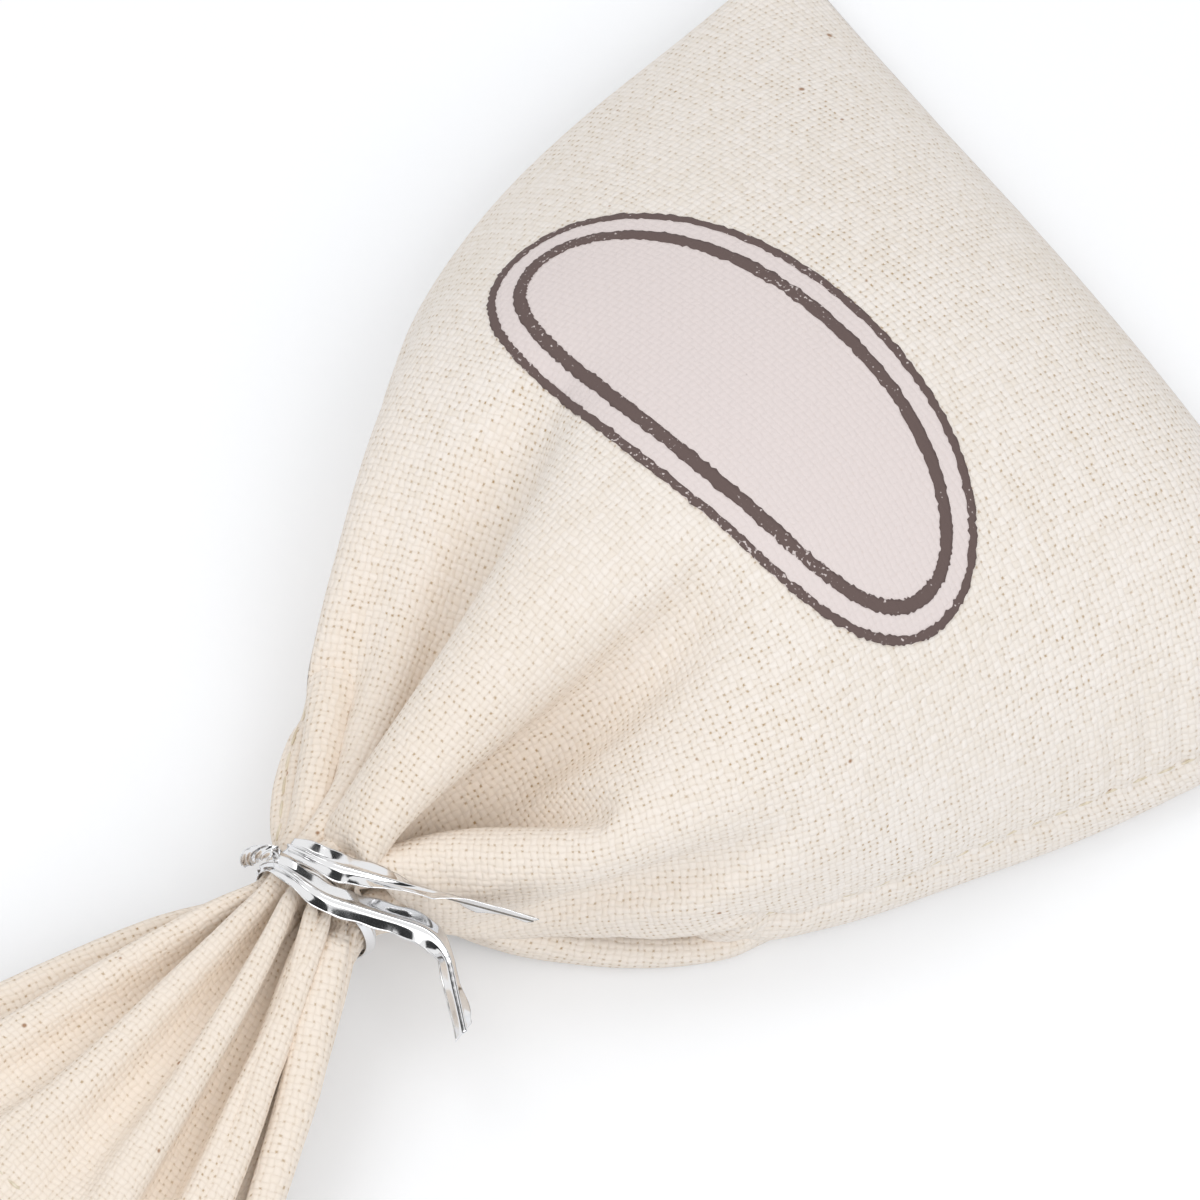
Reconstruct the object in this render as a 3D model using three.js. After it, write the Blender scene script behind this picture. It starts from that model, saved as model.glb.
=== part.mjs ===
// Lavender sachet: a filled cotton bag, gathered at the neck by a foil twist tie and lying on its back.
// Millimetres. +Y runs from the bottom fold to the mouth, +X to the right of the printed oval, +Z up.
// The origin is on the floor, under the belly.
import * as THREE from "three";

// Cloth
const clothThickness = 0.6; // wall of the bag
const clearance = 0.3; // between pieces that touch
const gridAngles = 56; // points round one section of the bag

// Pouch, measured from the tie to the bottom fold
const pouchLength = 100;
const pouchWidth = 100;
const bellyHeight = 36; // floor to the top of the belly
const rimHeight = 9; // floor to the side seams at the belly
const foldHeight = 6; // floor to the bottom fold
const foldThickness = 1.6; // over both layers at the bottom fold
const foldShift = 3; // the bottom fold lies this far to the right of the tie
const foldSkew = 4; // and its right corner this much further from the tie than its left one
const bellyShare = 0.5194; // where the belly is fullest, as a share of the pouch
const flattening = 14; // how much of the belly's underside the floor presses flat
const deepestFold = 8; // of the folds that run from the tie

// Neck
const neckRadius = 6.5;
const neckHeight = 12.5; // floor to the middle of the neck
const waistLength = 8; // straight stretch under the tie
const pleatCount = 8;
const pleatDepth = 0.9;
const tieTilt = THREE.MathUtils.degToRad(18); // the tie sits askew on the neck
const tiltReach = 20; // how far from the tie the cloth follows that slant

// Collar, measured from the tie to the mouth
const collarLength = 46;
const mouthWidth = 48;
const mouthHeight = 8.2; // floor to the middle of the mouth
const mouthGap = 12.8; // between the crests of the front and back layers
const flareShare = 0.4; // where the collar's fan is measured between the mouth and the tie
const flareWidth = 28;
const flareHeight = 10.6;
const flareRise = 6.7;
const fanTilt = THREE.MathUtils.degToRad(12.5); // slant of the mouth
const ruffleDepth = 3; // of the pleats at the mouth
const hemWidth = 6;
const hemThickness = 0.5;
const threadDiameter = 0.5;

// Filling
const fillStart = 13; // from the tie
const fillEnd = 6; // from the bottom fold
const fillGap = 0.7; // between the flowers and the cloth
const fillDip = 1.35; // the flowers sink under the folds by this share of their depth

// Printed oval
const labelLength = 59;
const labelWidth = 28.5;
const labelDistance = 57.5; // from the tie to the middle of the oval
const labelOffset = 7; // to the right of the tie
const labelThickness = 0.2;
const outerLine = 0.8;
const lineGap = 1.7;
const innerLine = 1.3;

// Twist tie
const stripWidth = 3;
const foilThickness = 0.2;
const wireDiameter = 0.45;
const wireGap = 0.15;
const twistFrom = THREE.MathUtils.degToRad(12); // round the neck, from its right side over the top
const twistTo = THREE.MathUtils.degToRad(56);
const loopFrom = THREE.MathUtils.degToRad(18);
const loopTo = THREE.MathUtils.degToRad(368);
const hingeAngle = THREE.MathUtils.degToRad(62);
const tailGap = 0.4; // between the two tails, side by side
const tailDrift = THREE.MathUtils.degToRad(22); // the tails slant towards the pouch
const straightLeave = THREE.MathUtils.degToRad(104); // where each tail leaves the neck
const curledLeave = THREE.MathUtils.degToRad(112);
const straightRun = 20;
const edgeTurn = THREE.MathUtils.degToRad(80); // the straight tail turns on edge
const curledRun = 9;
const curlRadius = 6;
const curlAngle = THREE.MathUtils.degToRad(85);
const curlEnd = 4;

// Sizes worked out from those above
const tieY = pouchLength * bellyShare;
const halfWaist = waistLength / 2;
const mouthRise = mouthGap / 2 + clothThickness;
const ridgeHeight = wireDiameter + wireGap + foilThickness;
const loopRadius = neckRadius + clearance;
const tailRadius = loopRadius + ridgeHeight + clearance;
const strandOffset = (foilThickness + clearance) / 2;
const twistRadius = tailRadius + stripWidth / 2;
const tailSpacing = stripWidth + tailGap;

// A smooth curve through [position, value] pairs, with no overshoot between them
function smoothCurve(pairs) {
  const slopes = pairs.slice(1).map(([x, v], i) => (v - pairs[i][1]) / (x - pairs[i][0]));
  const tangents = pairs.map((pair, i) => {
    const before = slopes[Math.max(i - 1, 0)];
    const after = slopes[Math.min(i, slopes.length - 1)];
    return before * after > 0 ? (2 * before * after) / (before + after) : 0;
  });
  return (x) => {
    let i = 0;
    while (i < pairs.length - 2 && x > pairs[i + 1][0]) i += 1;
    const width = pairs[i + 1][0] - pairs[i][0];
    const t = THREE.MathUtils.clamp((x - pairs[i][0]) / width, 0, 1);
    const rest = 1 - t;
    return (
      rest * rest * (1 + 2 * t) * pairs[i][1] +
      rest * rest * t * width * tangents[i] +
      t * t * (3 - 2 * t) * pairs[i + 1][1] -
      t * t * rest * width * tangents[i + 1]
    );
  };
}

// A line of the bag from the mouth, through the waist, to the bottom fold
function bagLine(mouth, flare, waist, pouch, fold) {
  return smoothCurve([
    [-collarLength, mouth],
    [-collarLength * flareShare, flare],
    [-halfWaist, waist],
    [halfWaist, waist],
    ...pouch.map(([share, value]) => [halfWaist + share * (pouchLength - halfWaist), value]),
    [pouchLength, fold],
  ]);
}

// The lines that shape the bag between the waist and the fold, as pairs of a share of the pouch's length
// and a share of its width, of the crown's height or of the underside's depth
const rightShape = [[0.083, 0.15], [0.21, 0.222], [0.375, 0.347], [0.48, 0.42], [0.58, 0.465], [0.79, 0.503]];
const leftShape = [[0.083, 0.11], [0.21, 0.2], [0.375, 0.29], [0.48, 0.33], [0.58, 0.365], [0.79, 0.415]];
const crownShape = [
  [0.042, 0.39], [0.146, 0.62], [0.29, 0.86], [bellyShare, 1], [0.69, 0.91],
  [0.79, 0.83], [0.875, 0.73], [0.94, 0.58], [0.98, 0.4],
];
const undersideShape = [
  [0.042, 0.41], [0.083, 0.48], [0.146, 0.7], [0.29, 1],
  [bellyShare, 1], [0.79, 0.95], [0.9, 0.85], [0.96, 0.5],
];
const sized = (shape, size) => shape.map(([share, part]) => [share, part * size]);
const rightFold = pouchWidth / 2 + foldShift;
const leftFold = pouchWidth / 2 - foldShift;
const rightSizes = sized(rightShape, pouchWidth);
const leftSizes = sized(leftShape, pouchWidth);
const rightEdge = bagLine(mouthWidth / 2, flareWidth / 2, neckRadius, rightSizes, rightFold);
const leftEdge = bagLine(mouthWidth / 2, flareWidth / 2, neckRadius, leftSizes, leftFold);
const rimLine = bagLine(mouthHeight, flareHeight, neckHeight, [[bellyShare, rimHeight]], foldHeight);
const crownSizes = sized(crownShape, bellyHeight - rimHeight);
const undersideSizes = sized(undersideShape, rimHeight + flattening);
const crown = bagLine(mouthRise, flareRise, neckRadius, crownSizes, foldThickness / 2);
const underside = bagLine(mouthRise, flareRise, neckRadius, undersideSizes, foldThickness / 2);
// 1 is a full oval section, and more draws the front down towards its sides
const rightThinness = bagLine(1, 1, 1, [[0.375, 1.8], [0.6, 1.5]], 1.5);
const leftThinness = bagLine(1, 1, 1, [[0.5, 1.1], [0.8, 1.3]], 1.5);

// Folds that run from the tie into the pouch, each at an angle round the bag. Their depth is a share of the
// deepest fold, and their reach a share of the pouch's length.
const folds = [
  { angle: 60, depth: 0.95, spread: 10, reach: 0.5 },
  { angle: 102, depth: 1, spread: 9, reach: 0.46 },
  { angle: 146, depth: 0.6, spread: 8, reach: 0.55 },
  { angle: 30, depth: 0.5, spread: 9, reach: 0.52 },
  { angle: 214, depth: 0.3, spread: 9, reach: 0.35 },
  { angle: 276, depth: 0.4, spread: 10, reach: 0.36 },
  { angle: 325, depth: 0.3, spread: 10, reach: 0.36 },
];

function foldDepth(angle, distance) {
  let total = 0;
  for (const fold of folds) {
    const along = distance / (fold.reach * pouchLength);
    if (along <= 0 || along >= 1) continue;
    const turn = THREE.MathUtils.radToDeg(angle) - fold.angle;
    const across = THREE.MathUtils.euclideanModulo(turn + 180, 360) - 180;
    const lengthwise = Math.sin(Math.PI * Math.sqrt(along));
    total += deepestFold * fold.depth * lengthwise * Math.exp(-((across / fold.spread) ** 2));
  }
  return total;
}

// A point of the bag's skin. The angle runs from the right seam over the front, distance from the tie
// to the bottom fold, and depth inwards from the outside of the cloth. What lies inside can dip deeper
// under the folds than the cloth does.
function skin(angle, distance, depth, dip = 1) {
  const across = Math.cos(angle);
  const up = Math.sin(angle);
  const collarShare = Math.max(0, -distance) / collarLength;
  const waist = pleatDepth * Math.exp(-((distance / waistLength) ** 4));
  const pleat = (waist + (ruffleDepth / 2) * collarShare) * (1 + Math.cos(pleatCount * angle));
  const drawnIn = depth + pleat + dip * foldDepth(angle, distance);
  const edge = (across > 0 ? rightEdge : leftEdge)(distance);
  const x = (edge - drawnIn) * across;
  const thinness = up > 0 ? (across > 0 ? rightThinness : leftThinness)(distance) : 1;
  const rise = (up > 0 ? crown : underside)(distance) - drawnIn;
  const z = rimLine(distance) + rise * Math.sign(up) * Math.abs(up) ** thinness;
  const pouchSlant = tieTilt * Math.exp(-((distance / tiltReach) ** 2));
  const slant = distance > 0 ? pouchSlant : THREE.MathUtils.lerp(tieTilt, fanTilt, collarShare);
  const fade = distance > 0 ? Math.exp(-((distance / waistLength) ** 2)) : 1;
  const skew = ((foldSkew * x) / pouchWidth) * Math.max(0, distance / pouchLength) ** 3;
  return new THREE.Vector3(
    x * Math.cos(slant) + distance * Math.tan(slant) * fade,
    tieY - distance + x * Math.sin(slant) - skew,
    Math.max(z, depth),
  );
}

// Height of the front of the pouch over a place given from the tie's middle line and the tie
function frontHeight(x, distance, depth) {
  let right = 0;
  let left = Math.PI;
  for (let i = 0; i < 30; i += 1) {
    const middle = (right + left) / 2;
    if (skin(middle, distance, depth).x > x) right = middle;
    else left = middle;
  }
  return skin((right + left) / 2, distance, depth).z;
}

// Points and triangles of one closed solid
class Solid {
  constructor() {
    this.points = [];
    this.triangles = [];
  }

  addRing(ring) {
    const first = this.points.length;
    this.points.push(...ring);
    return { first, count: ring.length };
  }

  // Joins two rings of the same number of points
  joinRings(a, b) {
    for (let k = 0; k < a.count; k += 1) {
      const next = (k + 1) % a.count;
      this.triangles.push([a.first + k, a.first + next, b.first + next]);
      this.triangles.push([a.first + k, b.first + next, b.first + k]);
    }
  }

  // Closes a ring that is the same shape over and under its own middle line
  closeLens(ring, reversed) {
    const half = ring.count / 2;
    const at = (k) => ring.first + (k % ring.count);
    for (let k = 0; k < half; k += 1) {
      const corners = [at(k), at(k + 1), at(ring.count - k - 1), at(ring.count - k)];
      if (reversed) corners.reverse();
      const distinct = corners.filter((corner, i) => corners.indexOf(corner) === i);
      for (let i = 2; i < distinct.length; i += 1) {
        this.triangles.push([distinct[0], distinct[i - 1], distinct[i]]);
      }
    }
  }

  // Closes a ring of any outline
  closeOutline(ring, outline, reversed) {
    const corners = outline.map(([a, b]) => new THREE.Vector2(a, b));
    for (const [i, j, k] of THREE.ShapeUtils.triangulateShape(corners, [])) {
      const turn = corners[j].clone().sub(corners[i]).cross(corners[k].clone().sub(corners[i]));
      const triangle = [ring.first + i, ring.first + j, ring.first + k];
      if (turn > 0 === reversed) triangle.reverse();
      this.triangles.push(triangle);
    }
  }

  geometry() {
    let volume = 0;
    for (const [i, j, k] of this.triangles) {
      volume += this.points[i].dot(this.points[j].clone().cross(this.points[k]));
    }
    const outward = volume > 0 ? this.triangles : this.triangles.map(([i, j, k]) => [i, k, j]);
    const geometry = new THREE.BufferGeometry().setFromPoints(this.points);
    geometry.setIndex(outward.flat());
    geometry.computeVertexNormals();
    return geometry;
  }
}

// Places along the bag where its sections are taken
function spread(from, to, count, power = 1) {
  return Array.from({ length: count + 1 }, (unused, k) => from + (to - from) * (k / count) ** power);
}

function sectionRing(distance, depth, dip = 1) {
  return Array.from({ length: gridAngles }, (unused, k) => {
    return skin((2 * Math.PI * k) / gridAngles, distance, depth, dip);
  });
}

const fillLast = pouchLength - fillEnd;
const fillStations = spread(fillStart, fillLast, 12);
const pouchStations = [
  ...spread(halfWaist, fillStart, 3).slice(0, -1),
  ...fillStations,
  ...spread(fillLast, pouchLength - foldThickness, 2).slice(1),
];
const collarStations = spread(-collarLength, -halfWaist, 7);

// The bag: one strip of cloth folded at the bottom and open at the mouth
function bagCloth() {
  const solid = new Solid();
  const stations = [...collarStations, 0, ...pouchStations];
  const outside = stations.map((distance) => solid.addRing(sectionRing(distance, 0)));
  outside.push(solid.addRing(sectionRing(pouchLength, 0)));
  const inside = stations.map((distance) => solid.addRing(sectionRing(distance, clothThickness)));
  solid.joinRings(inside[0], outside[0]);
  for (let i = 1; i < outside.length; i += 1) solid.joinRings(outside[i - 1], outside[i]);
  for (let i = 1; i < inside.length; i += 1) solid.joinRings(inside[i], inside[i - 1]);
  solid.closeLens(outside.at(-1), false);
  solid.closeLens(inside.at(-1), true);
  return solid.geometry();
}

// The edge of the mouth, turned in
function mouthHem() {
  const solid = new Solid();
  const outer = clothThickness + clearance;
  const inner = outer + hemThickness;
  const far = hemWidth - collarLength;
  const corners = [[-collarLength, outer], [far, outer], [far, inner], [-collarLength, inner]];
  const rings = corners.map(([distance, depth]) => solid.addRing(sectionRing(distance, depth)));
  rings.forEach((ring, i) => solid.joinRings(ring, rings[(i + 1) % rings.length]));
  return solid.geometry();
}

// The dried flowers that fill the pouch
function filling() {
  const solid = new Solid();
  const depth = clothThickness + fillGap;
  const rings = fillStations.map((distance) => solid.addRing(sectionRing(distance, depth, fillDip)));
  for (let i = 1; i < rings.length; i += 1) solid.joinRings(rings[i - 1], rings[i]);
  solid.closeLens(rings[0], true);
  solid.closeLens(rings.at(-1), false);
  return solid.geometry();
}

// A part of the printed oval between two insets from its edge, or from an inset to its middle
function ovalPatch(fromInset, toInset) {
  const solid = new Solid();
  const around = 36;
  const ovalPower = 0.9;
  const steps = toInset === null ? 4 : 1;
  const place = (turn, step, depth) => {
    const share = step / steps;
    const inset = toInset === null ? fromInset : THREE.MathUtils.lerp(fromInset, toInset, share);
    const size = toInset === null ? 1 - share : 1;
    const across = Math.sign(Math.cos(turn)) * Math.abs(Math.cos(turn)) ** ovalPower;
    const along = Math.sign(Math.sin(turn)) * Math.abs(Math.sin(turn)) ** ovalPower;
    const x = labelOffset + size * (labelLength / 2 - inset) * across;
    const distance = labelDistance - size * (labelWidth / 2 - inset) * along;
    return new THREE.Vector3(x, tieY - distance, frontHeight(x, distance, depth));
  };
  const ringCount = toInset === null ? steps : steps + 1;
  const layers = [-clearance, -clearance - labelThickness].map((depth) => {
    const rings = Array.from({ length: ringCount }, (unused, step) => {
      const turns = Array.from({ length: around }, (none, k) => (2 * Math.PI * k) / around);
      return solid.addRing(turns.map((turn) => place(turn, step, depth)));
    });
    const middle = toInset === null ? solid.addRing([place(0, steps, depth)]) : null;
    return { rings, middle };
  });
  const [under, over] = layers;
  solid.joinRings(under.rings[0], over.rings[0]);
  for (let i = 1; i < ringCount; i += 1) {
    solid.joinRings(over.rings[i - 1], over.rings[i]);
    solid.joinRings(under.rings[i], under.rings[i - 1]);
  }
  if (toInset !== null) {
    solid.joinRings(over.rings.at(-1), under.rings.at(-1));
    return solid.geometry();
  }
  for (let k = 0; k < around; k += 1) {
    const next = (k + 1) % around;
    const top = over.rings.at(-1).first;
    const bottom = under.rings.at(-1).first;
    solid.triangles.push([top + k, top + next, over.middle.first]);
    solid.triangles.push([bottom + next, bottom + k, under.middle.first]);
  }
  return solid.geometry();
}

// A flat outline carried along stations, each with its place and the directions across and outwards
function sweep(stations, outline) {
  const solid = new Solid();
  const rings = stations.map(({ place, across, out }) => {
    return solid.addRing(
      outline.map(([a, b]) => place.clone().addScaledVector(across, a).addScaledVector(out, b)),
    );
  });
  for (let i = 1; i < rings.length; i += 1) solid.joinRings(rings[i - 1], rings[i]);
  solid.closeOutline(rings[0], outline, true);
  solid.closeOutline(rings.at(-1), outline, false);
  return solid.geometry();
}

function roundOutline(radius, sides, height) {
  return Array.from({ length: sides }, (unused, k) => {
    const turn = (2 * Math.PI * k) / sides;
    return [radius * Math.cos(turn), height + radius * Math.sin(turn)];
  });
}

// The thread of a side seam, along the outside of the cloth from the hem to the bottom fold
function seamThread(angle) {
  const lift = clearance + threadDiameter / 2;
  const hemEnd = hemWidth - collarLength;
  const collar = collarStations.filter((distance) => distance > hemEnd + threadDiameter);
  const stations = [hemEnd, ...collar, 0, ...pouchStations].map((distance) => {
    const place = skin(angle, distance, -lift);
    return { place, across: new THREE.Vector3(Math.cos(angle), 0, 0), out: new THREE.Vector3(0, 0, 1) };
  });
  return sweep(stations, roundOutline(threadDiameter / 2, 6, 0));
}

// The thread that holds the hem, round the outside of the mouth
function hemThread() {
  const solid = new Solid();
  const lift = clearance + threadDiameter / 2;
  const middle = hemWidth * 0.8 - collarLength;
  const rings = roundOutline(threadDiameter / 2, 6, lift).map(([along, height]) => {
    return solid.addRing(sectionRing(middle + along, -height));
  });
  rings.forEach((ring, i) => solid.joinRings(ring, rings[(i + 1) % rings.length]));
  return solid.geometry();
}

// The tie's own directions: along the neck, out to its right side, and up
const neckCentre = new THREE.Vector3(0, tieY, neckHeight);
const alongNeck = new THREE.Vector3(-Math.sin(tieTilt), Math.cos(tieTilt), 0);
const sideways = new THREE.Vector3(Math.cos(tieTilt), Math.sin(tieTilt), 0);
const upward = new THREE.Vector3(0, 0, 1);

// The direction at an angle from one direction towards another at right angles to it
function turned(from, towards, angle) {
  return from.clone().multiplyScalar(Math.cos(angle)).addScaledVector(towards, Math.sin(angle));
}

function outFromNeck(angle) {
  return turned(sideways, upward, angle);
}

function roundNeck(angle) {
  return turned(upward, sideways, -angle);
}

function onNeck(angle, radius, along) {
  return neckCentre.clone().addScaledVector(outFromNeck(angle), radius).addScaledVector(alongNeck, along);
}

// Foil strip with a raised middle over the wire, open underneath where the wire lies
const halfStrip = stripWidth / 2;
const grooveHalf = wireDiameter / 2 + wireGap;
const grooveHeight = wireDiameter + wireGap;
const ridgeFoot = grooveHalf + 2 * foilThickness;
const stripOutline = [
  [-halfStrip, 0],
  [-grooveHalf, 0],
  [-grooveHalf, grooveHeight],
  [grooveHalf, grooveHeight],
  [grooveHalf, 0],
  [halfStrip, 0],
  [halfStrip, foilThickness],
  [ridgeFoot, foilThickness],
  [grooveHalf + foilThickness / 2, ridgeHeight],
  [-grooveHalf - foilThickness / 2, ridgeHeight],
  [-ridgeFoot, foilThickness],
  [-halfStrip, foilThickness],
];
const wireOutline = roundOutline(wireDiameter / 2, 6, wireDiameter / 2);

const loopStations = spread(loopFrom, loopTo, 40).map((angle) => {
  return { place: onNeck(angle, loopRadius, 0), across: alongNeck, out: outFromNeck(angle) };
});

// One of the two strands that are twisted once round each other on the right of the neck
function twistStrand(side) {
  const columns = spread(-halfStrip, halfStrip, 3);
  const outline = [
    ...columns.map((a) => [a, -foilThickness / 2]),
    ...columns.map((a) => [-a, foilThickness / 2]),
  ];
  const stations = spread(0, 1, 24).map((share) => {
    const angle = THREE.MathUtils.lerp(twistFrom, twistTo, share);
    const turn = 2 * Math.PI * share;
    const radial = outFromNeck(angle);
    const across = turned(alongNeck, radial, turn);
    const out = turned(radial, alongNeck, -turn);
    const place = onNeck(angle, twistRadius, 0).addScaledVector(out, side * strandOffset);
    return { place, across, out };
  });
  return sweep(stations, outline);
}

// Stations of a tail: over the front of the neck, then straight off it
function tailOverNeck(along, leave, run, steps) {
  const stations = spread(hingeAngle, leave, 8).map((angle) => {
    const share = (angle - hingeAngle) / (leave - hingeAngle);
    const drift = tailDrift * share;
    const slid = (tailRadius * (leave - hingeAngle) * Math.tan(tailDrift) * share * share) / 2;
    const forward = turned(roundNeck(angle), alongNeck, -drift);
    const across = turned(alongNeck, roundNeck(angle), drift);
    return { place: onNeck(angle, tailRadius, along - slid), forward, across, out: outFromNeck(angle) };
  });
  const last = stations.at(-1);
  for (const distance of spread(0, run, steps).slice(1)) {
    stations.push({ ...last, place: last.place.clone().addScaledVector(last.forward, distance) });
  }
  return stations;
}

// The tail that runs straight on beside the pouch and turns on edge
function straightTail() {
  const stations = tailOverNeck(-tailSpacing / 2, straightLeave, straightRun, 14);
  return stations.map((station, i) => {
    const turn = edgeTurn * THREE.MathUtils.smoothstep(i, 9, stations.length - 5);
    const middle = station.place.clone().addScaledVector(station.out, ridgeHeight / 2);
    const out = turned(station.out, station.across, -turn);
    const across = turned(station.across, station.out, turn);
    return { place: middle.addScaledVector(out, -ridgeHeight / 2), across, out };
  });
}
const straightStations = straightTail();

// The tail that curls down towards the floor
function curledTail() {
  const stations = tailOverNeck(tailSpacing / 2, curledLeave, curledRun, 3);
  const last = stations.at(-1);
  const centre = last.place.clone().addScaledVector(last.out, -curlRadius);
  for (const angle of spread(0, curlAngle, 9).slice(1)) {
    const out = turned(last.out, last.forward, angle);
    const forward = turned(last.forward, last.out, -angle);
    const place = centre.clone().addScaledVector(out, curlRadius);
    stations.push({ place, forward, across: last.across, out });
  }
  const end = stations.at(-1);
  stations.push({ ...end, place: end.place.clone().addScaledVector(end.forward, curlEnd) });
  return stations;
}
const curledStations = curledTail();

const colours = {
  cotton: new THREE.MeshStandardMaterial({ color: 0xe9dcc6, roughness: 0.95, metalness: 0 }),
  thread: new THREE.MeshStandardMaterial({ color: 0xf1e9da, roughness: 0.9, metalness: 0 }),
  flowers: new THREE.MeshStandardMaterial({ color: 0x6f6590, roughness: 1, metalness: 0 }),
  film: new THREE.MeshStandardMaterial({ color: 0xede3e1, roughness: 0.8, metalness: 0 }),
  ink: new THREE.MeshStandardMaterial({ color: 0x6b5a56, roughness: 0.8, metalness: 0 }),
  foil: new THREE.MeshStandardMaterial({ color: 0xd8d8da, roughness: 0.15, metalness: 1 }),
  wire: new THREE.MeshStandardMaterial({ color: 0x8f9092, roughness: 0.4, metalness: 1 }),
};

const bandStart = outerLine + clearance;
const innerStart = bandStart + lineGap - clearance;
const centreStart = innerStart + innerLine + clearance;

const pieces = [
  ["bag_cloth", bagCloth(), colours.cotton],
  ["mouth_hem", mouthHem(), colours.cotton],
  ["hem_thread", hemThread(), colours.thread],
  ["seam_thread_right", seamThread(0), colours.thread],
  ["seam_thread_left", seamThread(Math.PI), colours.thread],
  ["lavender_filling", filling(), colours.flowers],
  ["label_outer_line", ovalPatch(0, outerLine), colours.ink],
  ["label_band", ovalPatch(bandStart, innerStart - clearance), colours.film],
  ["label_inner_line", ovalPatch(innerStart, innerStart + innerLine), colours.ink],
  ["label_centre", ovalPatch(centreStart, null), colours.film],
  ["tie_loop", sweep(loopStations, stripOutline), colours.foil],
  ["tie_loop_wire", sweep(loopStations, wireOutline), colours.wire],
  ["tie_twist_outer", twistStrand(1), colours.foil],
  ["tie_twist_inner", twistStrand(-1), colours.foil],
  ["straight_tail", sweep(straightStations, stripOutline), colours.foil],
  ["straight_tail_wire", sweep(straightStations, wireOutline), colours.wire],
  ["curled_tail", sweep(curledStations, stripOutline), colours.foil],
  ["curled_tail_wire", sweep(curledStations, wireOutline), colours.wire],
];

const sachet = new THREE.Group();
sachet.name = "lavender_sachet";
for (const [name, geometry, material] of pieces) {
  const mesh = new THREE.Mesh(geometry, material.clone());
  mesh.name = name;
  sachet.add(mesh);
}

export default sachet;
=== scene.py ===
"""Lavender sachet: a gathered cotton bag of dried buds, closed with a foil twist tie.

Laid out as a Blender add-on and run as a script. The settings are in metres. The cloth solver and the
tie's paths work in millimetres, in the frame of the CAD model, and the meshes are made in metres.
"""

import math

import bpy
import numpy as np
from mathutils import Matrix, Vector, kdtree


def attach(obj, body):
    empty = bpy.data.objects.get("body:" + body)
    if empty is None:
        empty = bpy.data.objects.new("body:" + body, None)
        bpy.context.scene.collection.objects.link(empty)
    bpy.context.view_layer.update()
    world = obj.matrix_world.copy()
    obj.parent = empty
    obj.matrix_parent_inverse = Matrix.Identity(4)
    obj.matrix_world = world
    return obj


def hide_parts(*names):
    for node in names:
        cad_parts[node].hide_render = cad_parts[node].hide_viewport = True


bl_info = {
    "name": "Lavender sachet",
    "version": (1, 0, 0),
    "blender": (4, 5, 0),
    "location": "View3D > Sidebar > Sachet",
    "description": "Dresses the packed CAD model of a gathered cotton lavender sachet",
    "category": "Add Mesh",
}

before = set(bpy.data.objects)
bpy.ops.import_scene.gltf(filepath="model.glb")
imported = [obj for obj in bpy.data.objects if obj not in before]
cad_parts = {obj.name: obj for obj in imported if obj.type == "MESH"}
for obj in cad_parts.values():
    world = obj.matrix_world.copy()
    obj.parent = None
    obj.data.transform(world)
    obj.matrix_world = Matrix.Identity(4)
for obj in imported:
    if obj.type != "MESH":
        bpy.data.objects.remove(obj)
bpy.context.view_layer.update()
MM = 0.001

# The gathered neck, as in the CAD model: its middle, the way across it and the way along it
NECK = np.array([0.0, 51.94, 12.5])
TILT = math.radians(18)
SIDEWAYS = np.array([math.cos(TILT), math.sin(TILT), 0.0])
FORWARD = np.array([-math.sin(TILT), math.cos(TILT), 0.0])
UPWARD = np.array([0.0, 0.0, 1.0])

# Pleats round the neck, as (angle of the crest in degrees, share of the cloth)
PLEATS = (
    (1, 12), (16, 12), (42, 16), (76, 13), (97, 13), (118, 12), (136, 12), (154, 12), (172, 12),
    (190, 12), (209, 13), (231, 14), (258, 15), (286, 15), (310, 14), (330, 13), (346, 12),
)

# Folds that run down from the neck, as (place across the cloth at the neck, place at the far end,
# width, start and end below the neck, all in mm, and how hard the cloth is pushed out there)
FOLDS = (
    (34, 34, 4, 3, 48, -1.0), (47, 48, 7, 3, 38, 0.9), (60, 61, 5, 3, 30, -1.0),
    (70, 74, 5, 10, 52, 0.4), (80, 87, 5, 10, 58, -0.5), (17, 17, 4, 8, 44, -0.7),
)

# The side seams, as (mm below the neck, mm from the middle line), and their height over the floor
RIGHT_SEAM = (
    (0, 6.3), (4, 7.2), (12, 16.2), (30, 30.2), (50, 46.6), (66, 53.3), (80, 54.8), (103, 54.5),
)
LEFT_SEAM = (
    (0, 6.3), (4, 6.3), (13.7, 11), (20, 16.5), (28, 23.3), (38, 27.6), (62, 34.8), (80, 39.2), (95.5, 44),
)
RIGHT_HEIGHT = ((0, 12.5), (30, 11.5), (60, 10.5), (103, 7))
LEFT_HEIGHT = ((0, 12.5), (30, 9), (60, 6.5), (95.5, 4.5))

# The collar fans out beyond the neck: its slant, the half width of its mouth and how high its middle is
FAN = math.radians(-9.5)
FAN_WAY = np.array([math.sin(FAN), math.cos(FAN), 0.0])
FAN_SIDE = np.array([math.cos(FAN), -math.sin(FAN), 0.0])
MOUTH_HALF_WIDTH = 26.0
MOUTH_MIDDLE = 8.0
# The front of the mouth is a broad smooth sheet as far as this, and tight pleats beyond it
SHEET_END = -11.0
SHEET_RISE = ((0, 0), (0.06, 2.8), (0.2, 5.2), (0.5, 6.5), (0.8, 6), (1, 4.5))
FRONT_PLEATS = 4
# This share of the front's other cloth is in its pleats, and the ruffles behind take up the rest
PLEAT_SHARE = 0.62
BACK_RUFFLES = 9
RUFFLE_TOP = -1.2
DEEPEST_PLEAT = 9

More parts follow.
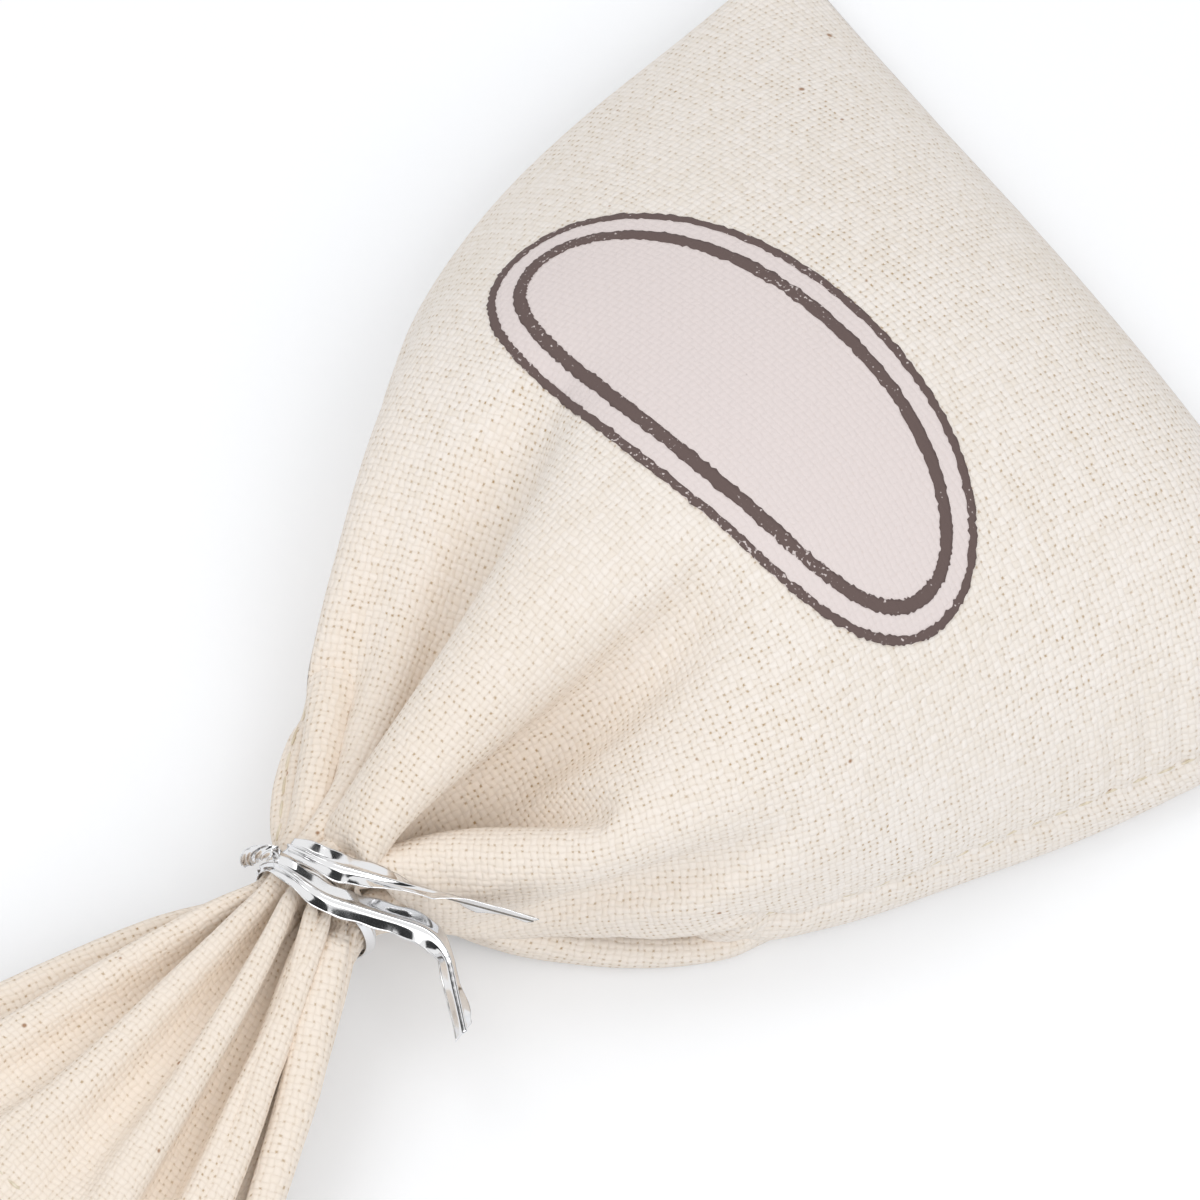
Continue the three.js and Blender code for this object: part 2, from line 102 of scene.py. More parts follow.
# The twist tie: where its tails start round the neck, how far they drift along it before they leave it,
# how far out the tails and the twist lie, and how far the middle of the strip lies over its path
TAIL_ROOT = math.radians(62)
TAIL_DRIFT = math.radians(22)
TAIL_RADIUS = 7.9
TWIST_RADIUS = 8.0
RIDGE = 0.4
# Places across the strip, as shares of half its width
STRIP_COLUMNS = (
    -1, -0.9, -0.75, -0.6, -0.47, -0.37, -0.28, -0.2, -0.1, 0, 0.1, 0.2, 0.28, 0.37, 0.47, 0.6, 0.75, 0.9, 1,
)

# How far the print, the film, the hem and the stitches lie off the cloth, and how thick the print is
INK_LIFT = 0.19
FILM_LIFT = 0.12
PRINT_THICKNESS = 0.06
HEM_GAP = 0.06
STITCH_LIFT = -0.02

# What the camera looks at, in metres
AIM = Vector((0.00329, 0.01436, 0.02592))

# What one operator makes and a later one needs
made = {}


def linear(code):
    """Linear colour of an sRGB hex value."""
    parts = [int(code[k:k + 2], 16) / 255 for k in (1, 3, 5)]
    return tuple(c / 12.92 if c <= 0.04045 else ((c + 0.055) / 1.055) ** 2.4 for c in parts) + (1.0,)


def colour(label, text, code):
    """A colour setting with its default as an sRGB hex value."""
    return bpy.props.FloatVectorProperty(
        name=label, description=text, default=linear(code), size=4, min=0, max=1, subtype="COLOR"
    )


def length(label, text, millimetres):
    """A length setting with its default in millimetres."""
    return bpy.props.FloatProperty(
        name=label, description=text, default=millimetres * MM, min=0, unit="LENGTH", precision=5
    )


def rotation(label, text, degrees):
    """An angle setting with its default in degrees."""
    return bpy.props.FloatProperty(
        name=label, description=text, default=math.radians(degrees), unit="ROTATION"
    )


class SachetBag(bpy.types.PropertyGroup):
    """Sizes and colours of the cotton bag."""

    flat_width: length("Flat width", "Width of the empty bag laid flat, seam to seam", 100)
    flat_length: length("Flat length", "Length of the empty bag laid flat, fold to mouth", 160)
    tie_distance: length("Tie distance", "Cloth from the bottom fold to the tie", 114)
    neck_radius: length("Neck radius", "Outer radius of the gathered neck", 6.5)
    filling_height: length("Filling height", "Height that sets how full the bag is", 37)
    cloth_thickness: length("Cloth thickness", "Thickness of the woven cloth", 0.4)
    hem_width: length("Hem width", "Width of the turned hem at the mouth", 6)
    thread_spacing: length("Thread spacing", "Distance from one thread of the weave to the next", 0.7)
    cotton: colour("Cotton", "Unbleached cotton thread", "#F7F0E9")
    cotton_shade: colour("Cotton shade", "Darker and thinner threads", "#EFE6DB")
    # Painted warm bounce light: a tint for the light that the gathered folds throw on each other near the
    # neck
    painted_bounce_tint: colour("Warm cotton", "Yellower thread towards the neck", "#F6E7D6")
    # This colour is used for the pinholes, and also as painted shade in the grooves between the threads
    pinhole_and_groove_shade: colour("Pinholes", "Gaps between the threads", "#B2946A")
    fleck: colour("Flecks", "Specks of seed husk in the thread", "#9A6A3C")


class SachetLabel(bpy.types.PropertyGroup):
    """Sizes and colours of the printed oval."""

    across: length("Across the cloth", "Middle of the oval, from the right seam over the front", 44.6)
    along: length("Along the cloth", "Middle of the oval, from the bottom fold", 47.3)
    oval_length: length("Oval length", "Length of the oval, across the bag", 60.5)
    oval_width: length("Oval width", "Width of the oval, along the bag", 27.5)
    turn: rotation("Turn", "Turn of the oval on the cloth", 2.2)
    outer_line: length("Outer line", "Width of the thin outer line", 0.8)
    line_gap: length("Line gap", "Distance between the two lines", 1.9)
    inner_line: length("Inner line", "Width of the thick inner line", 1.35)
    film: colour("Film", "Pale ground of the print", "#E6DBD9")
    ink: colour("Ink", "Printed lines", "#6A5A57")


class SachetStitches(bpy.types.PropertyGroup):
    """Sizes and colours of the sewing."""

    stitch_length: length("Stitch length", "Length of one stitch", 2.2)
    stitch_gap: length("Stitch gap", "Gap between two stitches", 0.6)
    thread_width: length("Thread width", "Diameter of the sewing thread", 0.35)
    thread: colour("Thread", "Sewing thread", "#E9DFCB")
    # Painted shade: this darker colour is laid along the grooves of the thread's twist
    painted_twist_shade: colour("Thread shade", "Grooves of the thread's twist", "#B9A888")


class SachetFilling(bpy.types.PropertyGroup):
    """Sizes and colours of the dried buds."""

    bud_length: length("Bud length", "Length of a dried bud", 4.6)
    bud_width: length("Bud width", "Width of a dried bud", 1.9)
    bud_spacing: length("Bud spacing", "Least distance from bud to bud", 3.6)
    cloth_distance: length("Cloth distance", "Depth of the buds under the cloth", 2.6)
    bud: colour("Bud", "Dried petals", "#6C6391")
    husk: colour("Husk", "Dried green of the bud's foot", "#8C8A72")


class SachetTie(bpy.types.PropertyGroup):
    """Sizes and colours of the twist tie."""

    strip_width: length("Strip width", "Width of the foil strip", 3)
    foil_thickness: length("Foil thickness", "Thickness of the laminated foil", 0.12)
    wire_diameter: length("Wire diameter", "Diameter of the soft wire", 0.36)
    foil: colour("Foil", "Aluminium foil", "#E9E9EA")
    wire: colour("Wire", "Soft iron wire", "#8E8A84")
    wire_spots: colour("Wire spots", "Dull spots on the wire", "#6F6A64")


class SachetStage(bpy.types.PropertyGroup):
    """Camera, light and floor."""

    view_width: length("View width", "Width that the picture shows", 114.6)
    azimuth: rotation("Azimuth", "Way round that the camera stands", 231)
    elevation: rotation("Elevation", "Height angle of the camera", 63)
    distance: length("Distance", "Distance from the camera to the bag", 3000)
    floor: colour("Floor", "White paper under the bag", "#F1F3F6")
    card: colour("Card", "Dark cards that the foil mirrors", "#151515")


# Materials


def set_inputs(tree, node, inputs):
    """Fills a node's inputs by name or in order. A socket is linked, and a node by its first output."""
    for socket, value in inputs.items() if isinstance(inputs, dict) else enumerate(inputs):
        if isinstance(value, bpy.types.Node):
            value = value.outputs[0]
        if isinstance(value, bpy.types.NodeSocket):
            tree.links.new(value, node.inputs[socket])
        else:
            node.inputs[socket].default_value = value


def add_node(tree, kind, inputs=(), **options):
    """Adds a node, sets its options, and links or fills its inputs."""
    node = tree.nodes.new(kind)
    for name, value in options.items():
        setattr(node, name, value)
    set_inputs(tree, node, inputs)
    return node


def new_material(name, inputs):
    """A material of that name, with values for its Principled shader."""
    material = bpy.data.materials.new(name)
    material.use_nodes = True
    tree = material.node_tree
    shader = tree.nodes["Principled BSDF"]
    set_inputs(tree, shader, inputs)
    return material, tree, shader


def plain_weave(tree, spacing):
    """The piece's cloth map, and the height, openness and tone of a plain weave that is drawn in it."""
    cloth = add_node(tree, "ShaderNodeUVMap", uv_map="cloth")
    # The cloth map counts in 100 mm, so this many threads lie in one unit of it
    threads = 0.1 / spacing
    # Threads wander by about a fifth of their spacing over about 12 mm
    wander = add_node(tree, "ShaderNodeTexNoise", {"Vector": cloth, "Scale": 8.0, "Detail": 1.0})
    drift = add_node(
        tree, "ShaderNodeVectorMath", (wander.outputs["Color"], (0.9,) * 3, (-0.45,) * 3),
        operation="MULTIPLY_ADD",
    )
    # They also stray by as much over about 1.5 mm
    jitter = add_node(tree, "ShaderNodeTexNoise", {"Vector": cloth, "Scale": 65.0, "Detail": 1.0})
    stray = add_node(
        tree, "ShaderNodeVectorMath", (jitter.outputs["Color"], (0.9,) * 3, drift), operation="MULTIPLY_ADD"
    )
    place = add_node(tree, "ShaderNodeVectorMath", (cloth, (threads,) * 3, stray), operation="MULTIPLY_ADD")
    axes = add_node(tree, "ShaderNodeSeparateXYZ", (place,))
    ridges = []
    cells = []
    corners = []
    for at in axes.outputs[:2]:
        cells.append(add_node(tree, "ShaderNodeMath", (at,), operation="FLOOR"))
        corners.append(add_node(tree, "ShaderNodeMath", (at,), operation="ROUND"))
        part = add_node(tree, "ShaderNodeMath", (at,), operation="FRACT")
        turn = add_node(tree, "ShaderNodeMath", (part, math.pi, -math.pi / 2), operation="MULTIPLY_ADD")
        ridges.append(add_node(tree, "ShaderNodeMath", (turn,), operation="COSINE"))
    both = add_node(tree, "ShaderNodeMath", cells, operation="ADD")
    odd = add_node(tree, "ShaderNodeMath", (both, 2.0), operation="FLOORED_MODULO")
    # Each thread is highest in the middle of the cell where it passes over
    crowns = []
    tones = []
    for own, other in ((0, 1), (1, 0)):
        hump = add_node(tree, "ShaderNodeMath", (ridges[other], 0.5, 0.5), operation="MULTIPLY_ADD")
        crowns.append(add_node(tree, "ShaderNodeMath", (ridges[own], hump), operation="MULTIPLY"))
        # Slubs: each thread is thicker and thinner along itself, over about 8 mm
        slow = add_node(tree, "ShaderNodeMath", (axes.outputs[other], 0.09), operation="MULTIPLY")
        number = add_node(tree, "ShaderNodeMath", (cells[own], 1.37, 40.0 * own), operation="MULTIPLY_ADD")
        where = add_node(tree, "ShaderNodeCombineXYZ", (number, slow))
        slub = {"Vector": where, "Scale": 1.0, "Detail": 2.0}
        tones.append(add_node(tree, "ShaderNodeTexNoise", slub, noise_dimensions="2D"))
    height = add_node(tree, "ShaderNodeMix", {0: odd, 2: crowns[0], 3: crowns[1]})
    even_tone = add_node(tree, "ShaderNodeMix", {0: odd, 2: tones[0], 3: tones[1]})
    # Each crossing is a little lighter or darker than the next
    crossing = add_node(tree, "ShaderNodeCombineXYZ", cells)
    grain = add_node(tree, "ShaderNodeTexWhiteNoise", {"Vector": crossing}, noise_dimensions="2D")
    tone = add_node(tree, "ShaderNodeMath", (grain, 0.3, even_tone), operation="MULTIPLY_ADD")
    # Pinholes lie at the corners of the cells, ragged by loose fibres of about 0.2 mm
    nearest = add_node(tree, "ShaderNodeMath", ridges, operation="MAXIMUM")
    fibres = add_node(tree, "ShaderNodeTexNoise", {"Vector": cloth, "Scale": 420.0, "Detail": 1.0})
    ragged = add_node(tree, "ShaderNodeMath", (fibres, 0.5, nearest), operation="MULTIPLY_ADD")
    gap = add_node(
        tree, "ShaderNodeMapRange", (ragged, 0.3, 1.08, 1.0, 0.0), interpolation_type="SMOOTHSTEP"
    )
    # Each is open by its own amount, and more of them in loose patches of about 20 mm
    corner = add_node(tree, "ShaderNodeCombineXYZ", corners)
    chance = add_node(tree, "ShaderNodeTexWhiteNoise", {"Vector": corner}, noise_dimensions="2D")
    loose = add_node(tree, "ShaderNodeTexNoise", {"Vector": cloth, "Scale": 5.0, "Detail": 2.0})
    likely = add_node(tree, "ShaderNodeMath", (chance, loose), operation="MULTIPLY")
    openness = add_node(tree, "ShaderNodeMapRange", (likely, 0.08, 0.6, 0.1, 1.0))
    holes = add_node(tree, "ShaderNodeMath", (gap, openness), operation="MULTIPLY")
    return cloth, height, holes, tone


def unbleached_cotton(bag):
    """Plain-woven muslin: dull, warm white, with pinholes between uneven threads and specks of husk."""
    material, tree, shader = new_material(
        "unbleached_cotton_muslin",
        {"Roughness": 0.95, "Specular IOR Level": 0.2, "Sheen Weight": 0.15, "Sheen Roughness": 0.6},
    )
    cloth, height, holes, tone = plain_weave(tree, bag.thread_spacing)
    # Threads differ in tone, and the cloth as a whole over about 30 mm
    slow = add_node(tree, "ShaderNodeTexNoise", {"Vector": cloth, "Scale": 3.0, "Detail": 2.0})
    mottled = add_node(tree, "ShaderNodeMath", (slow, 0.5, tone), operation="MULTIPLY_ADD")
    shade = add_node(tree, "ShaderNodeMapRange", (mottled, 0.7, 1.25, 0.0, 1.0))
    # Painted warm bounce light: the cloth is tinted yellower from the belly to the neck and beyond, for the
    # light that the gathered folds throw on each other
    axes = add_node(tree, "ShaderNodeSeparateXYZ", (cloth,))
    warm = add_node(tree, "ShaderNodeMapRange", (axes.outputs[1], 0.55, 1.05, 0.0, 0.6))
    # Painted shade: the grooves between the threads are darkened towards the pinhole colour, as less light
    # reaches them
    painted_groove_shade = add_node(
        tree, "ShaderNodeMapRange", (height, 0.0, 0.7, 0.1, 0.0), interpolation_type="SMOOTHSTEP"
    )
    # Pinholes and painted groove shade, whichever is stronger
    darker = add_node(tree, "ShaderNodeMath", (painted_groove_shade, holes), operation="MAXIMUM")
    # One cell in five, each about 6 mm wide, holds a speck of up to 0.4 mm
    specks = add_node(tree, "ShaderNodeTexVoronoi", {"Vector": cloth, "Scale": 16.0}, voronoi_dimensions="2D")
    pick = add_node(tree, "ShaderNodeSeparateColor", (specks.outputs["Color"],))
    reach = add_node(tree, "ShaderNodeMapRange", (pick, 0.8, 1.0, 0.0, 0.06))
    inside = add_node(tree, "ShaderNodeMath", (reach, specks.outputs["Distance"]), operation="SUBTRACT")
    speck = add_node(tree, "ShaderNodeMapRange", (inside, 0.0, 0.03, 0.0, 0.85))
    # Each of these takes the colour so far part of the way to its own
    tint = bag.cotton
    for amount, own in (
        (shade, bag.cotton_shade), (warm, bag.painted_bounce_tint), (darker, bag.pinhole_and_groove_shade), (speck, bag.fleck)
    ):
        tint = add_node(tree, "ShaderNodeMix", {0: amount, 6: tint, 7: own}, data_type="RGBA").outputs[2]
    relief = add_node(tree, "ShaderNodeMath", (tone, 0.6, height), operation="MULTIPLY_ADD")
    bump = add_node(tree, "ShaderNodeBump", {"Height": relief, "Strength": 0.5, "Distance": 0.0002})
    set_inputs(tree, shader, {"Base Color": tint, "Normal": bump})
    return material


def printed_film(bag, label):
    """Pale transfer film pressed into the weave: smoother than the cloth, with the threads just showing."""
    material, tree, shader = new_material("transfer_film", {"Roughness": 0.6, "Specular IOR Level": 0.3})
    cloth, height, holes, _ = plain_weave(tree, bag.thread_spacing)
    faint = add_node(tree, "ShaderNodeMath", (holes, 0.1), operation="MULTIPLY")
    ground = add_node(tree, "ShaderNodeMix", {0: faint, 6: label.film, 7: bag.pinhole_and_groove_shade}, data_type="RGBA")
    # Its own grain is about 1 mm wide
    grain = add_node(tree, "ShaderNodeTexNoise", {"Vector": cloth, "Scale": 90.0, "Detail": 3.0})
    relief = add_node(tree, "ShaderNodeMath", (grain, 0.8, height), operation="MULTIPLY_ADD")
    bump = add_node(tree, "ShaderNodeBump", {"Height": relief, "Strength": 0.4, "Distance": 0.00015})
    set_inputs(tree, shader, {"Base Color": ground.outputs[2], "Normal": bump})
    return material


def printing_ink(bag, label):
    """Brown-grey screen ink: matt, with pale specks where it missed the film."""
    material, tree, shader = new_material("screen_ink", {"Roughness": 0.75, "Specular IOR Level": 0.25})
    cloth, height, _, _ = plain_weave(tree, bag.thread_spacing)
    # Missed specks of about 0.4 mm, in patches of about 10 mm
    fine = add_node(tree, "ShaderNodeTexNoise", {"Vector": cloth, "Scale": 260.0, "Detail": 1.0})
    patch = add_node(tree, "ShaderNodeTexNoise", {"Vector": cloth, "Scale": 9.0, "Detail": 1.0})
    both = add_node(tree, "ShaderNodeMath", (patch, 0.5, fine), operation="MULTIPLY_ADD")
    missed = add_node(tree, "ShaderNodeMapRange", (both, 0.93, 1.0, 0.0, 0.8))
    inked = add_node(tree, "ShaderNodeMix", {0: missed, 6: label.ink, 7: label.film}, data_type="RGBA")
    bump = add_node(tree, "ShaderNodeBump", {"Height": height, "Strength": 0.25, "Distance": 0.00015})
    set_inputs(tree, shader, {"Base Color": inked.outputs[2], "Normal": bump})
    return material


def sewing_thread(stitches):
    """Spun cotton thread: dull, with its twist showing as fine slanting lines of painted shade."""
    material, tree, shader = new_material("spun_cotton_thread", {"Roughness": 0.9, "Specular IOR Level": 0.2})
    place = add_node(tree, "ShaderNodeTexCoord").outputs["Object"]
    # The twist repeats about every 0.7 mm, and its grooves are darkened with painted shade
    lines = {"Vector": place, "Scale": 530.0, "Distortion": 1.5}
    twist = add_node(tree, "ShaderNodeTexWave", lines, bands_direction="DIAGONAL").outputs["Fac"]
    shade = add_node(tree, "ShaderNodeMapRange", (twist, 0.0, 1.0, 0.0, 0.35))
    tint = add_node(
        tree, "ShaderNodeMix", {0: shade, 6: stitches.thread, 7: stitches.painted_twist_shade}, data_type="RGBA"
    )
    bump = add_node(tree, "ShaderNodeBump", {"Height": twist, "Strength": 0.4, "Distance": 0.0001})
    set_inputs(tree, shader, {"Base Color": tint.outputs[2], "Normal": bump})
    return material


def dried_bud(filling):
    """Dried lavender: dusty violet petals over a grey-green husk, matt and wrinkled."""
    material, tree, shader = new_material("dried_lavender", {"Roughness": 0.85, "Specular IOR Level": 0.2})
    place = add_node(tree, "ShaderNodeTexCoord").outputs["Object"]
    # Each bud of about 4 mm differs from the next, with wrinkles of about 0.5 mm
    blotch = add_node(tree, "ShaderNodeTexNoise", {"Vector": place, "Scale": 260.0, "Detail": 3.0})
    wrinkle = add_node(tree, "ShaderNodeTexNoise", {"Vector": place, "Scale": 2000.0, "Detail": 2.0})
    part = add_node(tree, "ShaderNodeMapRange", (blotch, 0.35, 0.65, 0.0, 1.0))
    tint = add_node(tree, "ShaderNodeMix", {0: part, 6: filling.bud, 7: filling.husk}, data_type="RGBA")
    bump = add_node(tree, "ShaderNodeBump", {"Height": wrinkle, "Strength": 0.5, "Distance": 0.0002})
    set_inputs(tree, shader, {"Base Color": tint.outputs[2], "Normal": bump})
    return material


def crinkled_foil(tie):
    """Laminated aluminium foil: a bright mirror, broken by fine crinkles and rubbed dull in places."""
    looks = {"Metallic": 1.0, "Base Color": tie.foil}
    material, tree, shader = new_material("laminated_aluminium_foil", looks)
    place = add_node(tree, "ShaderNodeTexCoord").outputs["Object"]
    # Facets of about 0.9 mm with soft crinkles between them, and a finer grain of 0.4 mm
    facets = add_node(tree, "ShaderNodeTexVoronoi", {"Vector": place, "Scale": 1100.0}, feature="SMOOTH_F1")
    grain = add_node(tree, "ShaderNodeTexNoise", {"Vector": place, "Scale": 2600.0, "Detail": 2.0})
    relief = add_node(
        tree, "ShaderNodeMath", (grain, 0.25, facets.outputs["Distance"]), operation="MULTIPLY_ADD"
    )
    bump = add_node(tree, "ShaderNodeBump", {"Height": relief, "Strength": 0.08, "Distance": 0.0001})
    # Rubbed places are about 2.4 mm wide
    rub = add_node(tree, "ShaderNodeTexNoise", {"Vector": place, "Scale": 420.0, "Detail": 3.0})
    dull = add_node(tree, "ShaderNodeMapRange", (rub, 0.35, 0.7, 0.06, 0.2))
    set_inputs(tree, shader, {"Normal": bump, "Roughness": dull})
    return material


def soft_wire(tie):
    """Soft iron wire: grey, with darker and duller spots."""
    material, tree, shader = new_material("soft_iron_wire", {"Metallic": 1.0})
    place = add_node(tree, "ShaderNodeTexCoord").outputs["Object"]
    # Spots of about 0.4 mm
    spots = add_node(tree, "ShaderNodeTexNoise", {"Vector": place, "Scale": 2400.0, "Detail": 3.0})
    tint = add_node(tree, "ShaderNodeMix", {0: spots, 6: tie.wire, 7: tie.wire_spots}, data_type="RGBA")
    dull = add_node(tree, "ShaderNodeMapRange", (spots, 0.3, 0.7, 0.3, 0.55))
    set_inputs(tree, shader, {"Base Color": tint.outputs[2], "Roughness": dull})
    return material


# The cloth


def smooth_curve(pairs):
    """A smooth function through (place, value) pairs that never overshoots them."""
    places, values = np.array(pairs, float).T
    slopes = np.diff(values) / np.diff(places)
    tangents = np.zeros_like(values)
    tangents[0] = slopes[0]
    tangents[-1] = slopes[-1]
    for k in range(1, len(places) - 1):
        if slopes[k - 1] * slopes[k] > 0:
            tangents[k] = 2 * slopes[k - 1] * slopes[k] / (slopes[k - 1] + slopes[k])

    def value(place):
        k = np.clip(np.searchsorted(places, place) - 1, 0, len(places) - 2)
        step = places[k + 1] - places[k]
        t = np.clip((place - places[k]) / step, 0, 1)
        start = (2 * t**3 - 3 * t**2 + 1) * values[k] + (t**3 - 2 * t**2 + t) * step * tangents[k]
        end = (3 * t**2 - 2 * t**3) * values[k + 1] + (t**3 - t**2) * step * tangents[k + 1]
        return start + end

    return value


def eased(share):
    """The same share from 0 to 1, with a slow start and end."""
    return share * share * (3 - 2 * share)


def line_length(points):
    """Length of a line of points."""
    return np.linalg.norm(np.diff(points, axis=0), axis=1).sum()


def even_points(points, count, closed):
    """Points at even distances along a dense line."""
    line = np.vstack([points, points[:1]]) if closed else points
    at = np.concatenate([[0], np.cumsum(np.linalg.norm(np.diff(line, axis=0), axis=1))])
    wanted = np.linspace(0, at[-1], count, endpoint=not closed)
    return np.stack([np.interp(wanted, at, axis) for axis in line.T], axis=1)


def unit(vectors):
    """The same vectors with a length of one."""
    size = np.linalg.norm(vectors, axis=-1, keepdims=True)
    return vectors / np.maximum(size, 1e-9)


def pull(first, second, rest, stiffness):
    """How far each first point moves towards its second, to bring them to the rest distance."""
    way = second - first
    size = np.sqrt(np.einsum("...k,...k->...", way, way))
    return (0.5 * stiffness * (size - rest) / np.maximum(size, 1e-6))[..., None] * way


def outward(points):
    """Outward normals of a bag's grid, each as long as the area round its point."""
    across = np.roll(points, -1, axis=1) - np.roll(points, 1, axis=1)
    along = np.gradient(points, axis=0) * 2
    return np.cross(along, across) / 4


def point_tree(places):
    """A tree that finds the points near a place."""
    tree = kdtree.KDTree(len(places))
    for number, place in enumerate(places):
        tree.insert(place, number)
    tree.balance()
    return tree


class BagCloth:
    """The bag's cloth as a grid of points in millimetres.

    Columns go round the bag from the right seam over the front, rows from the bottom fold to the mouth.
    """

    columns = 160
    rows = 129
    # Cloth on the floor lies this high
    lowest = 0.1
    # A bag filled to this height holds about 160 cm3
    full_height = 37
    full_volume = 160000.0
    # Each step corrects the lengths this many times, keeps this share of the speed, and has a longest move
    passes = 8
    damping = 0.94
    longest_move = 1.5
    # Weight of the full bag, press of the filling and push of the folds, in mm per step and step
    weight = 0.012
    press = 0.05
    fold_push = 0.02
    # Stiffness on the bias, and against bending over some steps of the grid, as (steps, stiffness)
    bias_stiffness = 0.12
    bending = ((2, 0.035), (4, 0.0175))
    # The tie leaves the neck this much slack over this half width, and is felt this far from its middle
    tie_slack = 0.15
    tie_half_width = 2.6
    tie_reach = 12
    # Cloth that lies on the floor slides only this part of the way
    slide = 0.4

    def __init__(self, bag):
        self.width = bag.flat_width / MM
        self.length = bag.flat_length / MM
        self.tie_at = bag.tie_distance / MM
        self.neck_radius = bag.neck_radius / MM
        self.across = 2 * self.width / self.columns
        self.along = self.length / (self.rows - 1)
        self.tie_row = round(self.tie_at / self.along)
        self.volume = self.full_volume * bag.filling_height / MM / self.full_height
        self.places_along = (np.arange(self.rows) * self.along)[:, None]
        self.places_across = (np.arange(self.columns) * self.across)[None, :]

    def ellipse(self, half_height):
        """Points round a loop of cloth that is held open by half_height."""
        low = 1.0
        high = self.width / 2
        for _ in range(40):
            half = (low + high) / 2
            root = math.sqrt((3 * half + half_height) * (half + 3 * half_height))
            if math.pi * (3 * (half + half_height) - root) > 2 * self.width:
                high = half
            else:
                low = half
        turn = np.linspace(0, 2 * math.pi, 1440, endpoint=False)
        loop = np.stack([low * np.cos(turn), half_height * np.sin(turn)], axis=1)
        return even_points(loop, self.columns, True)

    def open_bag(self):
        """The bag before it is tied: closed flat at the bottom and open above."""
        flat = 0.4
        belly = 17
        mouth = 4
        middle_height = 15
        points = np.zeros((self.rows, self.columns, 3))
        for row in range(self.rows):
            place = row * self.along
            rise = flat + belly * math.sin(math.pi * min(place, self.tie_at) / 125) ** 0.8
            if place > self.tie_at:
                rise = np.interp(place, [self.tie_at, self.length], [rise, mouth])
            loop = self.ellipse(rise)
            points[row, :, 0] = loop[:, 0]
            points[row, :, 1] = NECK[1] + (place - self.tie_at) * 0.93
            points[row, :, 2] = loop[:, 1] + middle_height
        return points

    def pleated_ring(self, outer, depth):
        """A dense ring of pleats round the neck."""
        angles = [angle for angle, share in PLEATS]
        mean = sum(share for angle, share in PLEATS) / len(PLEATS)
        part = np.linspace(0, 1, 80, endpoint=False)
        wave = 0.5 + 0.5 * np.cos(2 * math.pi * part)
        pieces = []
        for k, (angle, share) in enumerate(PLEATS):
            before = angles[k - 1] - (360 if k == 0 else 0)
            after = angles[(k + 1) % len(PLEATS)] + (360 if k == len(PLEATS) - 1 else 0)
            start = (before + angle) / 2
            turn = np.radians(start + ((angle + after) / 2 - start) * part)
            radius = outer - min(depth * share / mean, outer - 0.5) * wave
            pieces.append(np.stack([radius * np.cos(turn), radius * np.sin(turn)], axis=1))
        return np.vstack(pieces)

    def deep_enough(self, line, wanted, deepest):
        """The line whose depth makes it as long as the cloth that it has to take up."""
        low = 0.0
        high = deepest
        for _ in range(22):
            depth = (low + high) / 2
            if line_length(line(depth)) > wanted:
                high = depth
            else:
                low = depth
        return line(low)

    def neck_ring(self, outer):
        """A ring of pleats that takes up the whole width of the bag."""
        dense = self.deep_enough(lambda depth: self.pleated_ring(outer, depth), 2 * self.width, outer - 0.5)
        loop = even_points(dense, self.columns, True)
        first = np.argmin(np.abs(np.arctan2(loop[:, 1], loop[:, 0])))
        return np.roll(loop, -first, axis=0)

    def mouth_ring(self):
        """The mouth: a smooth sheet and tight pleats in front, and even ruffles behind."""
        half = MOUTH_HALF_WIDTH
        share = np.linspace(0, 1, 400)
        sheet = np.stack([half + (SHEET_END - half) * share, smooth_curve(SHEET_RISE)(share)], axis=1)
        used = line_length(sheet)
        front = (self.width - used) * PLEAT_SHARE
        back = 2 * self.width - used - front

        def waves(start, end, top, low, count, cloth):
            def line(depth):
                fall = depth * (0.5 - 0.5 * np.cos(2 * math.pi * count * share))
                return np.stack([start + (end - start) * share, top + (low - top) * share - fall], axis=1)

            return self.deep_enough(line, cloth, DEEPEST_PLEAT)

        pleats = waves(SHEET_END, -half, SHEET_RISE[-1][1], 0, FRONT_PLEATS, front)
        ruffles = waves(-half, half, RUFFLE_TOP, RUFFLE_TOP, BACK_RUFFLES, back)
        return even_points(np.vstack([sheet[:-1], pleats[:-1], ruffles]), self.columns, True)

    def collar_lines(self):
        """Where the collar is drawn to: from the ring at the neck to the ruffled mouth."""
        ring = self.neck_ring(self.neck_radius)
        loop = self.mouth_ring()
        beyond = np.arange(1, self.rows - self.tie_row)[:, None, None] * self.along
        share = (beyond / beyond[-1]) ** 0.85
        neck = NECK + ring[:, :1] * SIDEWAYS + ring[:, 1:] * UPWARD
        mouth = np.array([NECK[0], NECK[1], MOUTH_MIDDLE]) + loop[:, :1] * FAN_SIDE + loop[:, 1:] * UPWARD
        return neck * (1 - share) + mouth * share + FAN_WAY * beyond

    def seam_lines(self):
        """The lines that the two side seams are drawn to, from the bottom fold to the tie."""
        lines = []
        sides = ((1, RIGHT_SEAM, RIGHT_HEIGHT, 0), (-1, LEFT_SEAM, LEFT_HEIGHT, self.columns // 2))
        for sign, shape, heights, column in sides:
            below = np.linspace(shape[-1][0], 0, 600)
            # The tilt of the neck dies away over about 20 mm
            slant = TILT * np.exp(-((below / 20) ** 2))
            out = sign * smooth_curve(shape)(below)
            height = smooth_curve(heights)(below)
            line = np.stack([out * np.cos(slant), NECK[1] - below + out * np.sin(slant), height], axis=1)
            lines.append((column, even_points(line, self.tie_row + 1, False)))
        return lines

    def fold_pushes(self):
        """How hard each point is pushed out or in, to start the folds below the neck."""
        below = self.tie_at - self.places_along
        total = np.zeros((self.rows, self.columns))
        for near, far, wide, start, end, push in FOLDS:
            part = np.clip((below - start) / (end - start), 0, 1)
            middle = near + (far - near) * part
            strength = np.sin(np.pi * np.sqrt(part)) ** 0.7
            total += push * strength * np.exp(-(((self.places_across - middle) / wide) ** 2))
        return total

